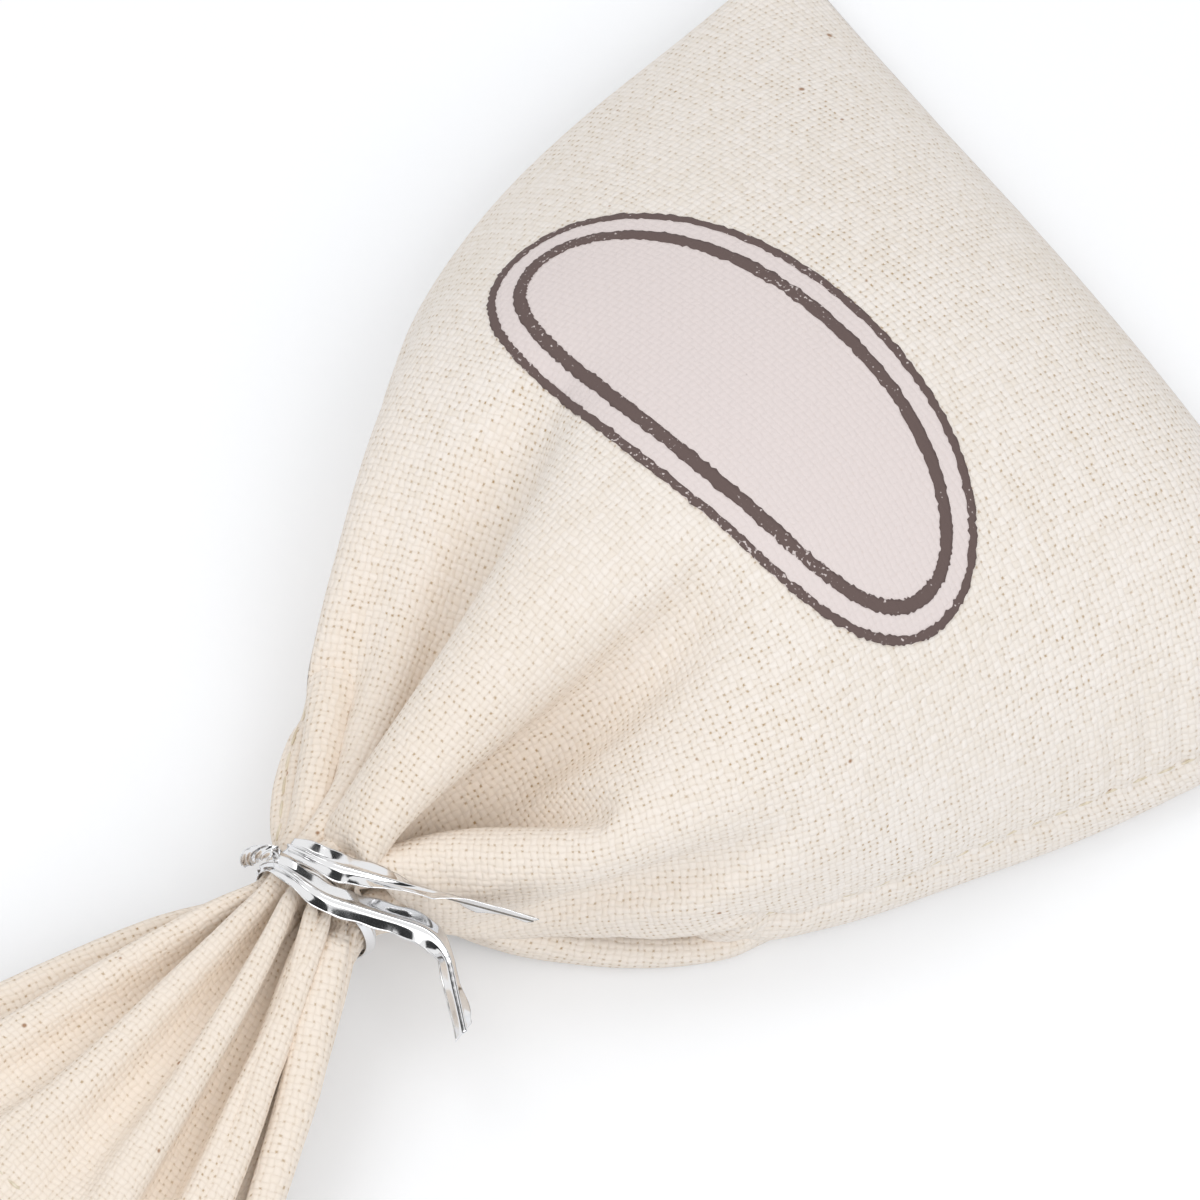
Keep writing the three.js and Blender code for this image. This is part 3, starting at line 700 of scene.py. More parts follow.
    def keep_lengths(self, points, reach, stiffness):
        """Draws points that lie reach steps apart, both ways, to the distance they have in flat cloth."""
        for start in range(2 * reach):
            first = points[start:-reach:2 * reach]
            second = points[start + reach::2 * reach]
            count = min(len(first), len(second))
            move = pull(first[:count], second[:count], reach * self.along, stiffness)
            first[:count] += move
            second[:count] -= move
        for start in range(reach):
            first = points[:, start::2 * reach]
            second = points[:, start + reach::2 * reach]
            move = pull(first, second, reach * self.across, stiffness)
            first += move
            second -= move
            move = pull(second, np.roll(first, -1, axis=1), reach * self.across, stiffness)
            second += move
            first -= np.roll(move, 1, axis=1)

    def keep_square(self, points):
        """Draws the diagonals to the length they have in flat cloth: weak, as cloth gives on the bias."""
        rest = math.hypot(self.along, self.across)
        for start in (0, 1):
            first = points[start:-1:2]
            second = points[start + 1::2]
            count = min(len(first), len(second))
            for turn in (-1, 1):
                move = pull(first[:count], np.roll(second[:count], turn, axis=1), rest, self.bias_stiffness)
                first[:count] += move
                second[:count] -= np.roll(move, -turn, axis=1)

    def near_pairs(self, points, first_row, radius):
        """Pairs of points that lie near each other but not next to each other in the cloth."""
        places = points[first_row:].reshape(-1, 3)
        tree = point_tree(places)
        found = [
            (number, other)
            for number, place in enumerate(places)
            for _, other, _ in tree.find_range(place, radius)
            if other > number
        ]
        if not found:
            return np.zeros((0, 2), int)
        pairs = np.array(found) + first_row * self.columns
        row_steps = np.abs(pairs[:, 0] // self.columns - pairs[:, 1] // self.columns)
        column_steps = np.abs(pairs[:, 0] % self.columns - pairs[:, 1] % self.columns)
        column_steps = np.minimum(column_steps, self.columns - column_steps)
        return pairs[row_steps + column_steps > 3]

    def keep_apart(self, points, pairs, gaps):
        """Moves layers of cloth apart where they come closer than their gap."""
        places = points.reshape(-1, 3)
        way = places[pairs[:, 1]] - places[pairs[:, 0]]
        size = np.sqrt((way * way).sum(1))
        near = size < gaps
        if not near.any():
            return
        size = np.maximum(size[near], 1e-6)
        move = (0.5 * (size - gaps[near]) / size)[:, None] * way[near]
        both = np.concatenate([pairs[near, 0], pairs[near, 1]])
        moves = np.concatenate([move, -move])
        count = np.maximum(np.bincount(both, minlength=len(places)), 1)
        for axis in range(3):
            places[:, axis] += np.bincount(both, moves[:, axis], minlength=len(places)) / count * 1.2

    def hold_neck(self, points):
        """Keeps the cloth next to the tie inside the room that the tie leaves."""
        reach = int(self.tie_reach / self.along)
        near = points[self.tie_row - reach:self.tie_row + reach]
        from_neck = near - NECK
        at = from_neck @ FORWARD
        radial = from_neck - at[..., None] * FORWARD
        radius = np.sqrt((radial**2).sum(-1))
        most = self.neck_radius + self.tie_slack + np.maximum(np.abs(at) - self.tie_half_width, 0)
        near -= radial * (1 - np.minimum(1, most / np.maximum(radius, 1e-6)))[..., None]

    def gathered(self, gather, settle):
        """The bag filled, tied and settled on the floor, in so many steps of gathering and of settling."""
        points = self.open_bag()
        # A little unevenness lets the folds begin
        points += np.random.default_rng(3).normal(0, 0.05, points.shape)
        speed = np.zeros_like(points)
        at = self.places_along
        tie_at = self.tie_at
        tie_row = self.tie_row
        # The filling presses in the lower part, and thins out towards the neck
        fill = np.interp(at, [0, 58, 80, 100, tie_at], [1, 1, 0.4, 0.1, 0])
        weight = self.weight * np.interp(at, [0, tie_at - 20, tie_at + 5, self.length], [1, 1, 0.5, 0.5])
        # How firmly the seams and the collar are drawn to their lines, by the place along the cloth
        hold = np.interp(at[:tie_row + 1], [0, 3, tie_at - 14, tie_at - 6], [0.06, 0.04, 0.04, 0])
        bottom_hold = 0.06
        beyond = at[tie_row + 1:] - tie_at
        collar_hold = np.interp(beyond, [0, 6, 20, 47], [0, 0.004, 0.008, 0.006])[..., None]
        collar = points[tie_row + 1:]
        collar_lines = self.collar_lines()
        # Layers of cloth keep 1 mm apart, and less next to the tie
        near_tie = [0, tie_at - 14, tie_at - 3, tie_at + 3, tie_at + 14, self.length]
        gap_rows = np.interp(at[:, 0], near_tie, [1.0, 1.0, 0.4, 0.4, 1.0, 1.0])
        first_crowded = int(55 / self.along)
        creases = self.fold_pushes() * self.fold_push
        seams = self.seam_lines()
        share_across = np.minimum(self.places_across, 2 * self.width - self.places_across)[0] / self.width
        bottom = seams[0][1][0, 1] * (1 - share_across) + seams[1][1][0, 1] * share_across
        # Below this row the cloth keeps within 1 mm of the seams' outline
        walled = points[:tie_row - int(18 / self.along)]
        right_edge = smooth_curve(RIGHT_SEAM)
        left_edge = smooth_curve(LEFT_SEAM)
        # The tie starts wide and a little high, and draws the cloth in
        open_radius = 30
        open_height = 2.5
        pinned_rows = slice(tie_row - 1, tie_row + 2)
        first = points[pinned_rows].copy()
        pairs = np.zeros((0, 2), int)
        gaps = np.zeros(0)
        for step in range(gather + settle):
            ready = min(1.0, step / gather)
            share = eased(min(1.0, (step + 1) / gather))
            if step < gather:
                loop = self.neck_ring(open_radius * (1 - share) + self.neck_radius * share)
                middle = NECK + UPWARD * open_height * (1 - share)
                ring = middle + loop[:, :1] * SIDEWAYS + loop[:, 1:] * UPWARD
                rings = np.stack([ring + FORWARD * k * self.along for k in (-1, 0, 1)])
                taken = min(1.0, share * 5)
                pinned = first * (1 - taken) + rings * taken
            before = points.copy()
            normals = outward(points)
            # The filling presses while the bag holds less than it should, and more near the floor
            inside = float(((points - NECK)[:tie_row] * normals[:tie_row]).sum() / 3)
            press = self.press * np.clip((self.volume - inside) / self.volume * 6 + 0.25, 0, 2)
            top = points[:tie_row, :, 2].max()
            speed *= self.damping
            speed += normals * (fill * press * (0.85 + 0.3 * (top - points[..., 2]) / top))[..., None]
            speed += normals * (creases * (1.0 if step < gather else 0.6))[..., None]
            speed[..., 2] -= weight
            points += speed
            if step % 5 == 0 and step > gather * 0.3:
                pairs = self.near_pairs(points, first_crowded, 2.0)
                gaps = gap_rows[pairs // self.columns].min(axis=1)
            right_wall = right_edge(NECK[1] - walled[..., 1]) + 1.0
            left_wall = -left_edge(NECK[1] - walled[..., 1]) - 1.0
            for k in range(self.passes):
                self.keep_lengths(points, 1, 1.0)
                self.keep_square(points)
                for reach, stiffness in self.bending:
                    self.keep_lengths(points, reach, stiffness)
                for column, line in seams:
                    seam = points[:tie_row + 1, column]
                    seam += (line - seam) * hold * ready
                collar += (collar_lines - collar) * collar_hold * ready
                # Front and back meet in the bottom fold
                points[0, :, 1] += (bottom - points[0, :, 1]) * bottom_hold
                points[0] = (points[0] + np.roll(points[0][::-1], 1, axis=0)) / 2
                if len(pairs) and k % 2:
                    self.keep_apart(points, pairs, gaps)
                over = np.maximum(walled[..., 0] - right_wall, 0) + np.minimum(walled[..., 0] - left_wall, 0)
                walled[..., 0] -= 0.3 * over * ready
                if share > 0.99:
                    self.hold_neck(points)
                points[pinned_rows] = pinned
                np.maximum(points[..., 2], self.lowest, out=points[..., 2])
            resting = points[..., 2] < self.lowest + 0.05
            slid = points[resting, :2] - before[resting, :2]
            points[resting, :2] = before[resting, :2] + slid * self.slide
            speed = np.clip(points - before, -self.longest_move, self.longest_move)
        return points


def refined(points):
    """Twice as many rows and columns, on the smooth cubic surface of the points."""
    rows, columns = points.shape[:2]
    wide = np.empty((rows, 2 * columns, 3))
    wide[:, 0::2] = (np.roll(points, 1, axis=1) + 6 * points + np.roll(points, -1, axis=1)) / 8
    wide[:, 1::2] = (points + np.roll(points, -1, axis=1)) / 2
    tall = np.empty((2 * rows - 1, 2 * columns, 3))
    tall[0::2] = wide
    tall[2:-2:2] = (wide[:-2] + 6 * wide[1:-1] + wide[2:]) / 8
    tall[1::2] = (wide[:-1] + wide[1:]) / 2
    return tall


class ClothSurface:
    """The finished cloth: a fine grid in millimetres, and what lies on a place of the cloth."""

    def __init__(self, cloth, points):
        self.points = points
        self.rows, self.columns = points.shape[:2]
        self.across = 2 * cloth.width / self.columns
        self.along = cloth.length / (self.rows - 1)
        self.length = cloth.length
        self.width = cloth.width
        self.tie_at = cloth.tie_at
        self.normals = unit(outward(points))
        self.places_across = (np.arange(self.columns) * self.across)[None, :]
        self.places_along = (np.arange(self.rows) * self.along)[:, None]

    def at(self, across, along, lift):
        """Points on the cloth at those places across and along it, lifted off it."""
        column = np.asarray(across) / self.across
        row = np.clip(np.asarray(along) / self.along, 0, self.rows - 1.001)
        left = np.floor(column).astype(int)
        low = np.floor(row).astype(int)
        right_share = (column - left)[..., None]
        high_share = (row - low)[..., None]

        def in_row(grid, number):
            start = grid[number, left % self.columns]
            return start * (1 - right_share) + grid[number, (left + 1) % self.columns] * right_share

        place, normal = (
            in_row(grid, low) * (1 - high_share) + in_row(grid, low + 1) * high_share
            for grid in (self.points, self.normals)
        )
        return place + unit(normal) * lift


# Meshes


def add_object(name, data):
    """An object of that name in the scene."""
    added = bpy.data.objects.new(name, data)
    bpy.context.scene.collection.objects.link(added)
    return added


def new_piece(name, points, faces, material, cloth_map=None):
    """A mesh object in metres from points in millimetres, with a cloth map in units of 100 mm."""
    mesh = bpy.data.meshes.new(name)
    mesh.from_pydata((np.asarray(points) * MM).tolist(), [], faces)
    mesh.polygons.foreach_set("use_smooth", [True] * len(mesh.polygons))
    if cloth_map is not None:
        layer = mesh.uv_layers.new(name="cloth")
        layer.data.foreach_set("uv", (np.asarray(cloth_map, float).reshape(-1) / 100).tolist())
    mesh.materials.append(material)
    mesh.validate()
    mesh.update()
    return add_object(name, mesh)


def finish_piece(piece, body, slot, *nodes):
    """Ties a piece to its body and hides the CAD nodes that it stands for. The slot is not used."""
    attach(piece, body)
    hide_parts(*nodes)


def grid_faces(numbers, closed, flip=False):
    """Quads of a grid of point numbers, and for each corner its row and column."""
    rows, columns = numbers.shape
    faces = []
    corners = []
    for row in range(rows - 1):
        for column in range(columns if closed else columns - 1):
            loop = [(row, column), (row + 1, column), (row + 1, column + 1), (row, column + 1)]
            if flip:
                loop.reverse()
            faces.append([int(numbers[r, c % columns]) for r, c in loop])
            corners.extend(loop)
    return faces, np.array(corners)


def bag_piece(surface, bag, tie_row, material):
    """The bag: outside, mouth and the inside of the collar, closed where the neck is gathered."""
    rows, columns = surface.rows, surface.columns
    outside = np.arange(rows * columns).reshape(rows, columns)
    # The bottom is a fold: front and back share its points
    half = columns // 2
    outside[0, half + 1:] = outside[0, 1:half][::-1]
    faces, corners = grid_faces(outside, True)
    inner_rows = np.arange(rows - 1, tie_row, -2)
    thickness = bag.cloth_thickness / MM
    inside_points = (surface.points - surface.normals * thickness)[inner_rows]
    inside = rows * columns + np.arange(len(inner_rows) * columns).reshape(-1, columns)
    rim_faces, rim_corners = grid_faces(np.vstack([outside[-1:], inside]), True)
    rim_corners[:, 0] = np.concatenate([[rows - 1], inner_rows])[rim_corners[:, 0]]
    # A plug of bunched cloth closes the neck
    middle = rows * columns + inside.size
    last = inside[-1].tolist()
    plug = [[one, middle, two] for one, two in zip(last, last[1:] + last[:1])]
    plug_corners = [[inner_rows[-1], 0]] * (3 * columns)
    cloth_map = np.vstack([corners, rim_corners, plug_corners]) * [surface.along, surface.across]
    middle_point = inside_points[-1].mean(axis=0)
    points = np.vstack([surface.points.reshape(-1, 3), inside_points.reshape(-1, 3), middle_point])
    # Points that no face uses are left out
    faces = faces + rim_faces + plug
    used = np.unique(np.concatenate(faces))
    renumber = np.zeros(len(points), int)
    renumber[used] = np.arange(len(used))
    faces = [renumber[face].tolist() for face in faces]
    return new_piece("cotton_bag", points[used], faces, material, cloth_map[:, ::-1])


def shell_piece(name, top, bottom, closed, material, across, along, wrap=(0, 0)):
    """A thin closed shell between two grids of points that lie at those places of the cloth.

    A closed grid goes on from its last column to its first, which is a step of wrap on the cloth.
    """
    rows, columns = top.shape[:2]
    places = np.stack(np.broadcast_arrays(across, along), axis=-1)
    upper = np.arange(rows * columns).reshape(rows, columns)
    lower = upper + rows * columns
    parts = [
        (upper, places, closed, False),
        (lower, places, closed, True),
        (np.stack([lower[0], upper[0]]), places[[0, 0]], closed, False),
        (np.stack([upper[-1], lower[-1]]), places[[-1, -1]], closed, False),
    ]
    if not closed:
        for column, flip in ((0, False), (-1, True)):
            edge = np.stack([upper[:, column], lower[:, column]])
            parts.append((edge, np.stack([places[:, column]] * 2), False, flip))
    faces = []
    cloth_map = []
    for numbers, on_cloth, ring, flip in parts:
        more, corners = grid_faces(numbers, ring, flip)
        faces += more
        past, column = np.divmod(corners[:, 1], numbers.shape[1])
        cloth_map.append(on_cloth[corners[:, 0], column] + past[:, None] * np.array(wrap))
    points = np.vstack([top.reshape(-1, 3), bottom.reshape(-1, 3)])
    return new_piece(name, points, faces, material, np.vstack(cloth_map))


def use_tree(piece, tree, sizes):
    """Puts a tree on a piece, with its inputs set by their identifiers, and bakes it to a plain mesh."""
    modifier = piece.modifiers.new(tree.name, "NODES")
    modifier.node_group = tree
    for item in tree.interface.items_tree:
        if item.item_type == "SOCKET" and item.in_out == "INPUT" and item.name in sizes:
            modifier[item.identifier] = sizes[item.name]
    graph = bpy.context.evaluated_depsgraph_get()
    mesh = bpy.data.meshes.new_from_object(piece.evaluated_get(graph))
    piece.modifiers.clear()
    old = piece.data
    piece.data = mesh
    bpy.data.meshes.remove(old)
    mesh.name = piece.name


def node_tree(name, sizes):
    """A Geometry Nodes tree with a geometry going in and out and named length inputs."""
    tree = bpy.data.node_groups.new(name, "GeometryNodeTree")
    tree.interface.new_socket("Geometry", in_out="INPUT", socket_type="NodeSocketGeometry")
    for label in sizes:
        tree.interface.new_socket(label, in_out="INPUT", socket_type="NodeSocketFloat")
    tree.interface.new_socket("Geometry", in_out="OUTPUT", socket_type="NodeSocketGeometry")
    return tree, tree.nodes.new("NodeGroupInput").outputs


def end_tree(tree, instances, material):
    """Ends a tree with real geometry in place of the instances, and its material."""
    real = add_node(tree, "GeometryNodeRealizeInstances", (instances,))
    dressed = add_node(tree, "GeometryNodeSetMaterial", {"Geometry": real, "Material": material})
    add_node(tree, "NodeGroupOutput", (dressed,))
    return tree


def stitch_tree(material):
    """Stitches at even distances along a line, each a short rounded piece of thread."""
    tree, given = node_tree("stitch_row", ("Stitch length", "Stitch gap", "Thread width"))
    line = add_node(tree, "GeometryNodeMeshToCurve", (given["Geometry"],))
    pitch = add_node(tree, "ShaderNodeMath", (given["Stitch length"], given["Stitch gap"]), operation="ADD")
    marks = add_node(tree, "GeometryNodeResampleCurve", {"Curve": line, "Length": pitch}, mode="LENGTH")
    ball = add_node(tree, "GeometryNodeMeshUVSphere", {"Segments": 8, "Rings": 6, "Radius": 0.5})
    smooth = add_node(tree, "GeometryNodeSetShadeSmooth", (ball,))
    tangent = add_node(tree, "GeometryNodeInputTangent")
    way = add_node(tree, "FunctionNodeAlignRotationToVector", {"Vector": tangent}, axis="Z")
    thick = given["Thread width"]
    size = add_node(tree, "ShaderNodeCombineXYZ", (thick, thick, given["Stitch length"]))
    placed = add_node(
        tree, "GeometryNodeInstanceOnPoints",
        {"Points": marks, "Instance": smooth, "Rotation": way, "Scale": size},
    )
    return end_tree(tree, placed, material)


def bud_tree(material):
    """Dried buds scattered over a surface, lying along it and turned at random."""
    tree, given = node_tree("loose_buds", ("Bud length", "Bud width", "Bud spacing"))
    spots = add_node(
        tree, "GeometryNodeDistributePointsOnFaces",
        {
            "Mesh": given["Geometry"], "Distance Min": given["Bud spacing"],
            "Density Max": 400000.0, "Seed": 11,
        },
        distribute_method="POISSON",
    )
    half = add_node(tree, "ShaderNodeMath", (given["Bud width"], 0.5), operation="MULTIPLY")
    barrel = add_node(
        tree, "GeometryNodeMeshCylinder",
        {"Vertices": 6, "Side Segments": 4, "Radius": half, "Depth": given["Bud length"]},
    )
    # The foot is narrow, the middle full and the mouth of the bud a little drawn in
    place = add_node(tree, "GeometryNodeInputPosition")
    axes = add_node(tree, "ShaderNodeSeparateXYZ", (place,))
    part = add_node(tree, "ShaderNodeMath", (axes.outputs[2], given["Bud length"]), operation="DIVIDE")
    bow = add_node(tree, "ShaderNodeMath", (part, 2.3, 0.25), operation="MULTIPLY_ADD")
    full = add_node(tree, "ShaderNodeMath", (bow,), operation="COSINE")
    wide = add_node(tree, "ShaderNodeMath", (full, 0.75, 0.25), operation="MULTIPLY_ADD")
    scale = add_node(tree, "ShaderNodeCombineXYZ", (wide, wide, 1.0))
    shaped = add_node(tree, "ShaderNodeVectorMath", (place, scale), operation="MULTIPLY")
    bud = add_node(tree, "GeometryNodeSetPosition", {"Geometry": barrel, "Position": shaped})
    # Each bud is laid down, tipped a little and turned any way round
    turn = add_node(
        tree, "FunctionNodeRandomValue", {0: (1.35, -0.2, 0.0), 1: (1.75, 0.2, 6.283), "Seed": 5},
        data_type="FLOAT_VECTOR",
    )
    spin = add_node(
        tree, "FunctionNodeRotateRotation", (spots.outputs["Rotation"], turn), rotation_space="LOCAL"
    )
    placed = add_node(
        tree, "GeometryNodeInstanceOnPoints", {"Points": spots, "Instance": bud, "Rotation": spin}
    )
    return end_tree(tree, placed, material)


# The twist tie


def turned(start, towards, angle):
    """A direction turned from one towards another, square to it, by an angle."""
    return start * math.cos(angle) + towards * math.sin(angle)


def out_from_neck(angle):
    """Direction out of the neck at an angle round it."""
    return turned(SIDEWAYS, UPWARD, angle)


def round_neck(angle):
    """Direction round the neck at an angle."""
    return turned(UPWARD, SIDEWAYS, -angle)


def on_neck(angle, radius, along):
    """A point at an angle round the neck, at a radius and a place along it."""
    return NECK + out_from_neck(angle) * radius + FORWARD * along


def loop_path(surface):
    """Stations of the loop round the neck's pleats, as (place, way across the strip, way out of it)."""
    ring = surface.at(np.arange(0, 2 * surface.width, 0.5), surface.tie_at, 0.0) - NECK
    radius = np.linalg.norm(ring - (ring @ FORWARD)[:, None] * FORWARD, axis=1).max()
    angles = np.radians(np.linspace(18, 368, 73))
    return [(on_neck(angle, radius, 0), FORWARD, out_from_neck(angle)) for angle in angles]


def twist_path(side):
    """Stations of one of the two strands that are twisted once round each other."""
    off_middle = 0.2
    stations = []
    for share in np.linspace(0, 1, 25):
        angle = math.radians(12 + 44 * share)
        turn = 2 * math.pi * share
        radial = out_from_neck(angle)
        across = turned(FORWARD, radial, turn)
        out = turned(radial, FORWARD, -turn)
        place = on_neck(angle, TWIST_RADIUS, 0) + out * side * off_middle
        stations.append((place, across * side, out * side))
    return stations


def tail_over_neck(root, along, leave, run, steps):
    """Stations of a tail from its root at the twist over the neck, then straight on."""
    bow = math.radians(leave) - TAIL_ROOT
    stations = []
    for share in np.linspace(0, 1, 9):
        angle = TAIL_ROOT + bow * share
        drift = TAIL_DRIFT * share
        slid = TAIL_RADIUS * bow * math.tan(TAIL_DRIFT) * share * share / 2
        forward = turned(round_neck(angle), FORWARD, -drift)
        across = turned(FORWARD, round_neck(angle), drift)
        beside = root + (along - root) * eased(share)
        stations.append((on_neck(angle, TAIL_RADIUS, beside - slid), across, out_from_neck(angle), forward))
    return stations + straight_on(stations[-1], run, steps)


def straight_on(station, run, steps):
    """Stations that go straight on from the last one."""
    place, across, out, forward = station
    return [(place + forward * run * step / steps, across, out, forward) for step in range(1, steps + 1)]


def straight_path():
    """Stations of the straight tail, which turns on its edge towards its end."""
    steps = 14
    turning_steps = 9
    most = math.radians(80)
    stations = tail_over_neck(-1.2, -0.6, 104, 19, steps)
    first = len(stations) - steps
    path = []
    for number, (place, across, out, _) in enumerate(stations):
        turn = most * eased(min(1, max(0, (number - first + 1) / turning_steps)))
        # It turns about its wire
        new_out = turned(out, across, -turn)
        path.append((place + (out - new_out) * RIDGE, turned(across, out, turn), new_out))
    return path


def curled_path():
    """Stations of the curled tail, which bends sideways on its wire and hangs down towards its end."""
    stations = tail_over_neck(1.2, 2.8, 112, 8.5, 3)
    radius = 5.0
    bends = 12
    bend = math.radians(62) / bends
    # At each bend it also sinks a little towards the floor, and turns its face to the bag
    sink = math.radians(1.5)
    face = math.radians(2.4)
    for _ in range(bends):
        place, across, out, forward = stations[-1]
        forward, across = turned(forward, across, bend), turned(across, forward, -bend)
        forward, out = turned(forward, out, -sink), turned(out, forward, sink)
        out, across = turned(out, across, -face), turned(across, out, face)
        stations.append((place + forward * radius * bend, across, out, forward))
    stations += straight_on(stations[-1], 6.3, 7)
    return [station[:3] for station in stations]


def wire_piece(name, path, tie, material):
    """The round wire that lies under the ridge of a strip."""
    radius = tie.wire_diameter / MM / 2
    sides = 10
    turns = np.linspace(0, 2 * math.pi, sides, endpoint=False)[:, None]
    places, across, out = (np.array(ways) for ways in zip(*path))
    places = places + out * radius
    rings = places[:, None] + radius * (across[:, None] * np.cos(turns) + out[:, None] * np.sin(turns))
    numbers = np.arange(len(path) * sides).reshape(-1, sides)
    flip = float(np.dot(np.cross(across[0], out[0]), places[1] - places[0])) > 0
    faces = grid_faces(numbers, True, flip)[0]
    ends = [numbers[0].tolist()[::-1], numbers[-1].tolist()]
    faces += ends if flip else [end[::-1] for end in ends]
    return new_piece(name, rings.reshape(-1, 3), faces, material)


def strip_piece(name, path, tie, material, seed, facet, lean_most, pinch, slant, root):
    """A creased foil strip with a ridge over its wire, along a path of stations.

    Its facets are that long and lean by up to lean_most. Pinch is its share of the full width, slant
    how far its end is cut off square, and root the share of its width at its start.
    """
    step = 0.22
    ridge_width = 0.24
    bead_length = 0.9
    # The facets begin this far from the wire, and lie this far over the path
    facet_start = 0.35
    facet_lift = 0.05
    # Lengths over which the end lies flat, the end is cut on the slant and the root widens
    flat_end = 6
    slant_end = 2
    root_end = 5
    places, across, out = (np.array(ways) for ways in zip(*path))
    at = np.concatenate([[0], np.cumsum(np.linalg.norm(np.diff(places, axis=0), axis=1))])
    fine = np.linspace(0, at[-1], int(at[-1] / step))
    places = np.stack([smooth_curve(list(zip(at, axis)))(fine) for axis in places.T], axis=1)
    across = unit(np.stack([np.interp(fine, at, axis) for axis in across.T], axis=1))
    out = np.stack([np.interp(fine, at, axis) for axis in out.T], axis=1)
    out = unit(out - across * (out * across).sum(1)[:, None])
    half = tie.strip_width / MM / 2
    columns = np.array(STRIP_COLUMNS) * half * pinch
    # A soft ridge over the wire, faintly beaded where the foil was pressed round it
    beads = 1 + 0.06 * np.sin(fine * 2 * math.pi / bead_length) * np.clip(np.sin(fine * 0.45 + seed), 0, 1)
    height = RIDGE * np.exp(-((columns / ridge_width) ** 2)) * beads[:, None] + facet_lift
    # Flat facets beside the ridge: each half leans a little, another way after each crease
    chance = np.random.default_rng(seed)
    for side in (-1, 1):
        knots = np.arange(0, at[-1] + 2 * facet, facet) * chance.uniform(0.9, 1.1)
        lean = np.interp(fine, knots, chance.uniform(-lean_most, lean_most, len(knots)))
        lean = lean * np.clip((at[-1] - fine) / flat_end, 0.1, 1)
        height += lean[:, None] * np.clip(side * columns - facet_start, 0, None)
    # The edges are a little wavy, and an end may be cut on the slant
    wave = 0.05 * np.sin(fine * 1.9 + seed)[:, None] * np.abs(columns / half) ** 4
    shift = slant * columns * np.clip((fine[:, None] - at[-1] + slant_end) / slant_end, 0, 1)
    forward = unit(np.gradient(places, axis=0))
    spread = columns * (1 + wave) * np.interp(fine, [0, root_end], [root, 1])[:, None]
    base = places[:, None] + across[:, None] * spread[..., None] + forward[:, None] * shift[..., None]
    low = base + out[:, None] * height[..., None]
    high = low + out[:, None] * tie.foil_thickness / MM
    if np.dot(np.cross(across[0], forward[0]), out[0]) > 0:
        low = low[:, ::-1]
        high = high[:, ::-1]
    return shell_piece(name, high, low, False, material, fine[:, None], columns)


# Operators


class SACHET_OT_bag(bpy.types.Operator):
    """Fills and gathers the cotton bag, and makes its cloth and hem"""

    bl_idname = "sachet.bag"
    bl_label = "Cotton bag"

    def execute(self, context):
        bag = context.scene.sachet_bag
        stitches = context.scene.sachet_stitches
        cloth = BagCloth(bag)
        steps = ((200, 220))
        fine = refined(cloth.gathered(*steps))
        surface = ClothSurface(cloth, fine)
        # The side seams draw the cloth in over about 0.8 mm, a little more at each stitch
        half = surface.width / 2
        from_seam = (surface.places_across + half) % surface.width - half
        pitch = (stitches.stitch_length + stitches.stitch_gap) / MM
        draw = 0.45 + 0.1 * np.sin(surface.places_along * 2 * math.pi / pitch)
        fine = fine - surface.normals * (draw * np.exp(-((from_seam / 0.8) ** 2)))[..., None]
        fine[..., 2] = np.maximum(fine[..., 2], cloth.lowest)
        surface = ClothSurface(cloth, fine)
        made["surface"] = surface
        cotton = unbleached_cotton(bag)
        piece = bag_piece(surface, bag, 2 * cloth.tie_row + 2, cotton)
        finish_piece(piece, "bag", "cotton", "bag_cloth")
        # The hem is turned to the inside
        across = surface.places_across
        along = np.linspace(surface.length, surface.length - bag.hem_width / MM, 11)[:, None]
        thickness = bag.cloth_thickness / MM
        outer = surface.at(across, along, -thickness - HEM_GAP)
        inner = surface.at(across, along, -2 * thickness - HEM_GAP)
        wrap = (2 * surface.width, 0)
        piece = shell_piece("turned_hem", inner, outer, True, cotton, across, along, wrap)
        finish_piece(piece, "bag", "cotton", "mouth_hem")
        return {"FINISHED"}


class SACHET_OT_stitches(bpy.types.Operator):
    """Sews the two side seams and the hem"""

    bl_idname = "sachet.stitches"
    bl_label = "Seams"

    def execute(self, context):
        stitches = context.scene.sachet_stitches
        surface = made["surface"]
        tree = stitch_tree(sewing_thread(stitches))
        sizes = {
            "Stitch length": stitches.stitch_length,
            "Stitch gap": stitches.stitch_gap,
            "Thread width": stitches.thread_width,
        }
        hem_line = surface.length - context.scene.sachet_bag.hem_width / MM * 0.8
        step = 0.5
        up = np.arange(1.5, hem_line - 1, step)
        round_mouth = np.arange(step, 2 * surface.width - step, step)
        rows = (
            ("right_seam_stitches", "seam_thread_right", np.zeros_like(up), up),
            ("left_seam_stitches", "seam_thread_left", np.full_like(up, surface.width), up),
            ("hem_stitches", "hem_thread", round_mouth, hem_line),
        )
        for name, node, across, along in rows:
            line = surface.at(across, along, STITCH_LIFT)
            mesh = bpy.data.meshes.new(name)
            mesh.from_pydata((line * MM).tolist(), [(k, k + 1) for k in range(len(line) - 1)], [])
            piece = add_object(name, mesh)
            use_tree(piece, tree, sizes)
            finish_piece(piece, "bag", "thread", node)
        return {"FINISHED"}


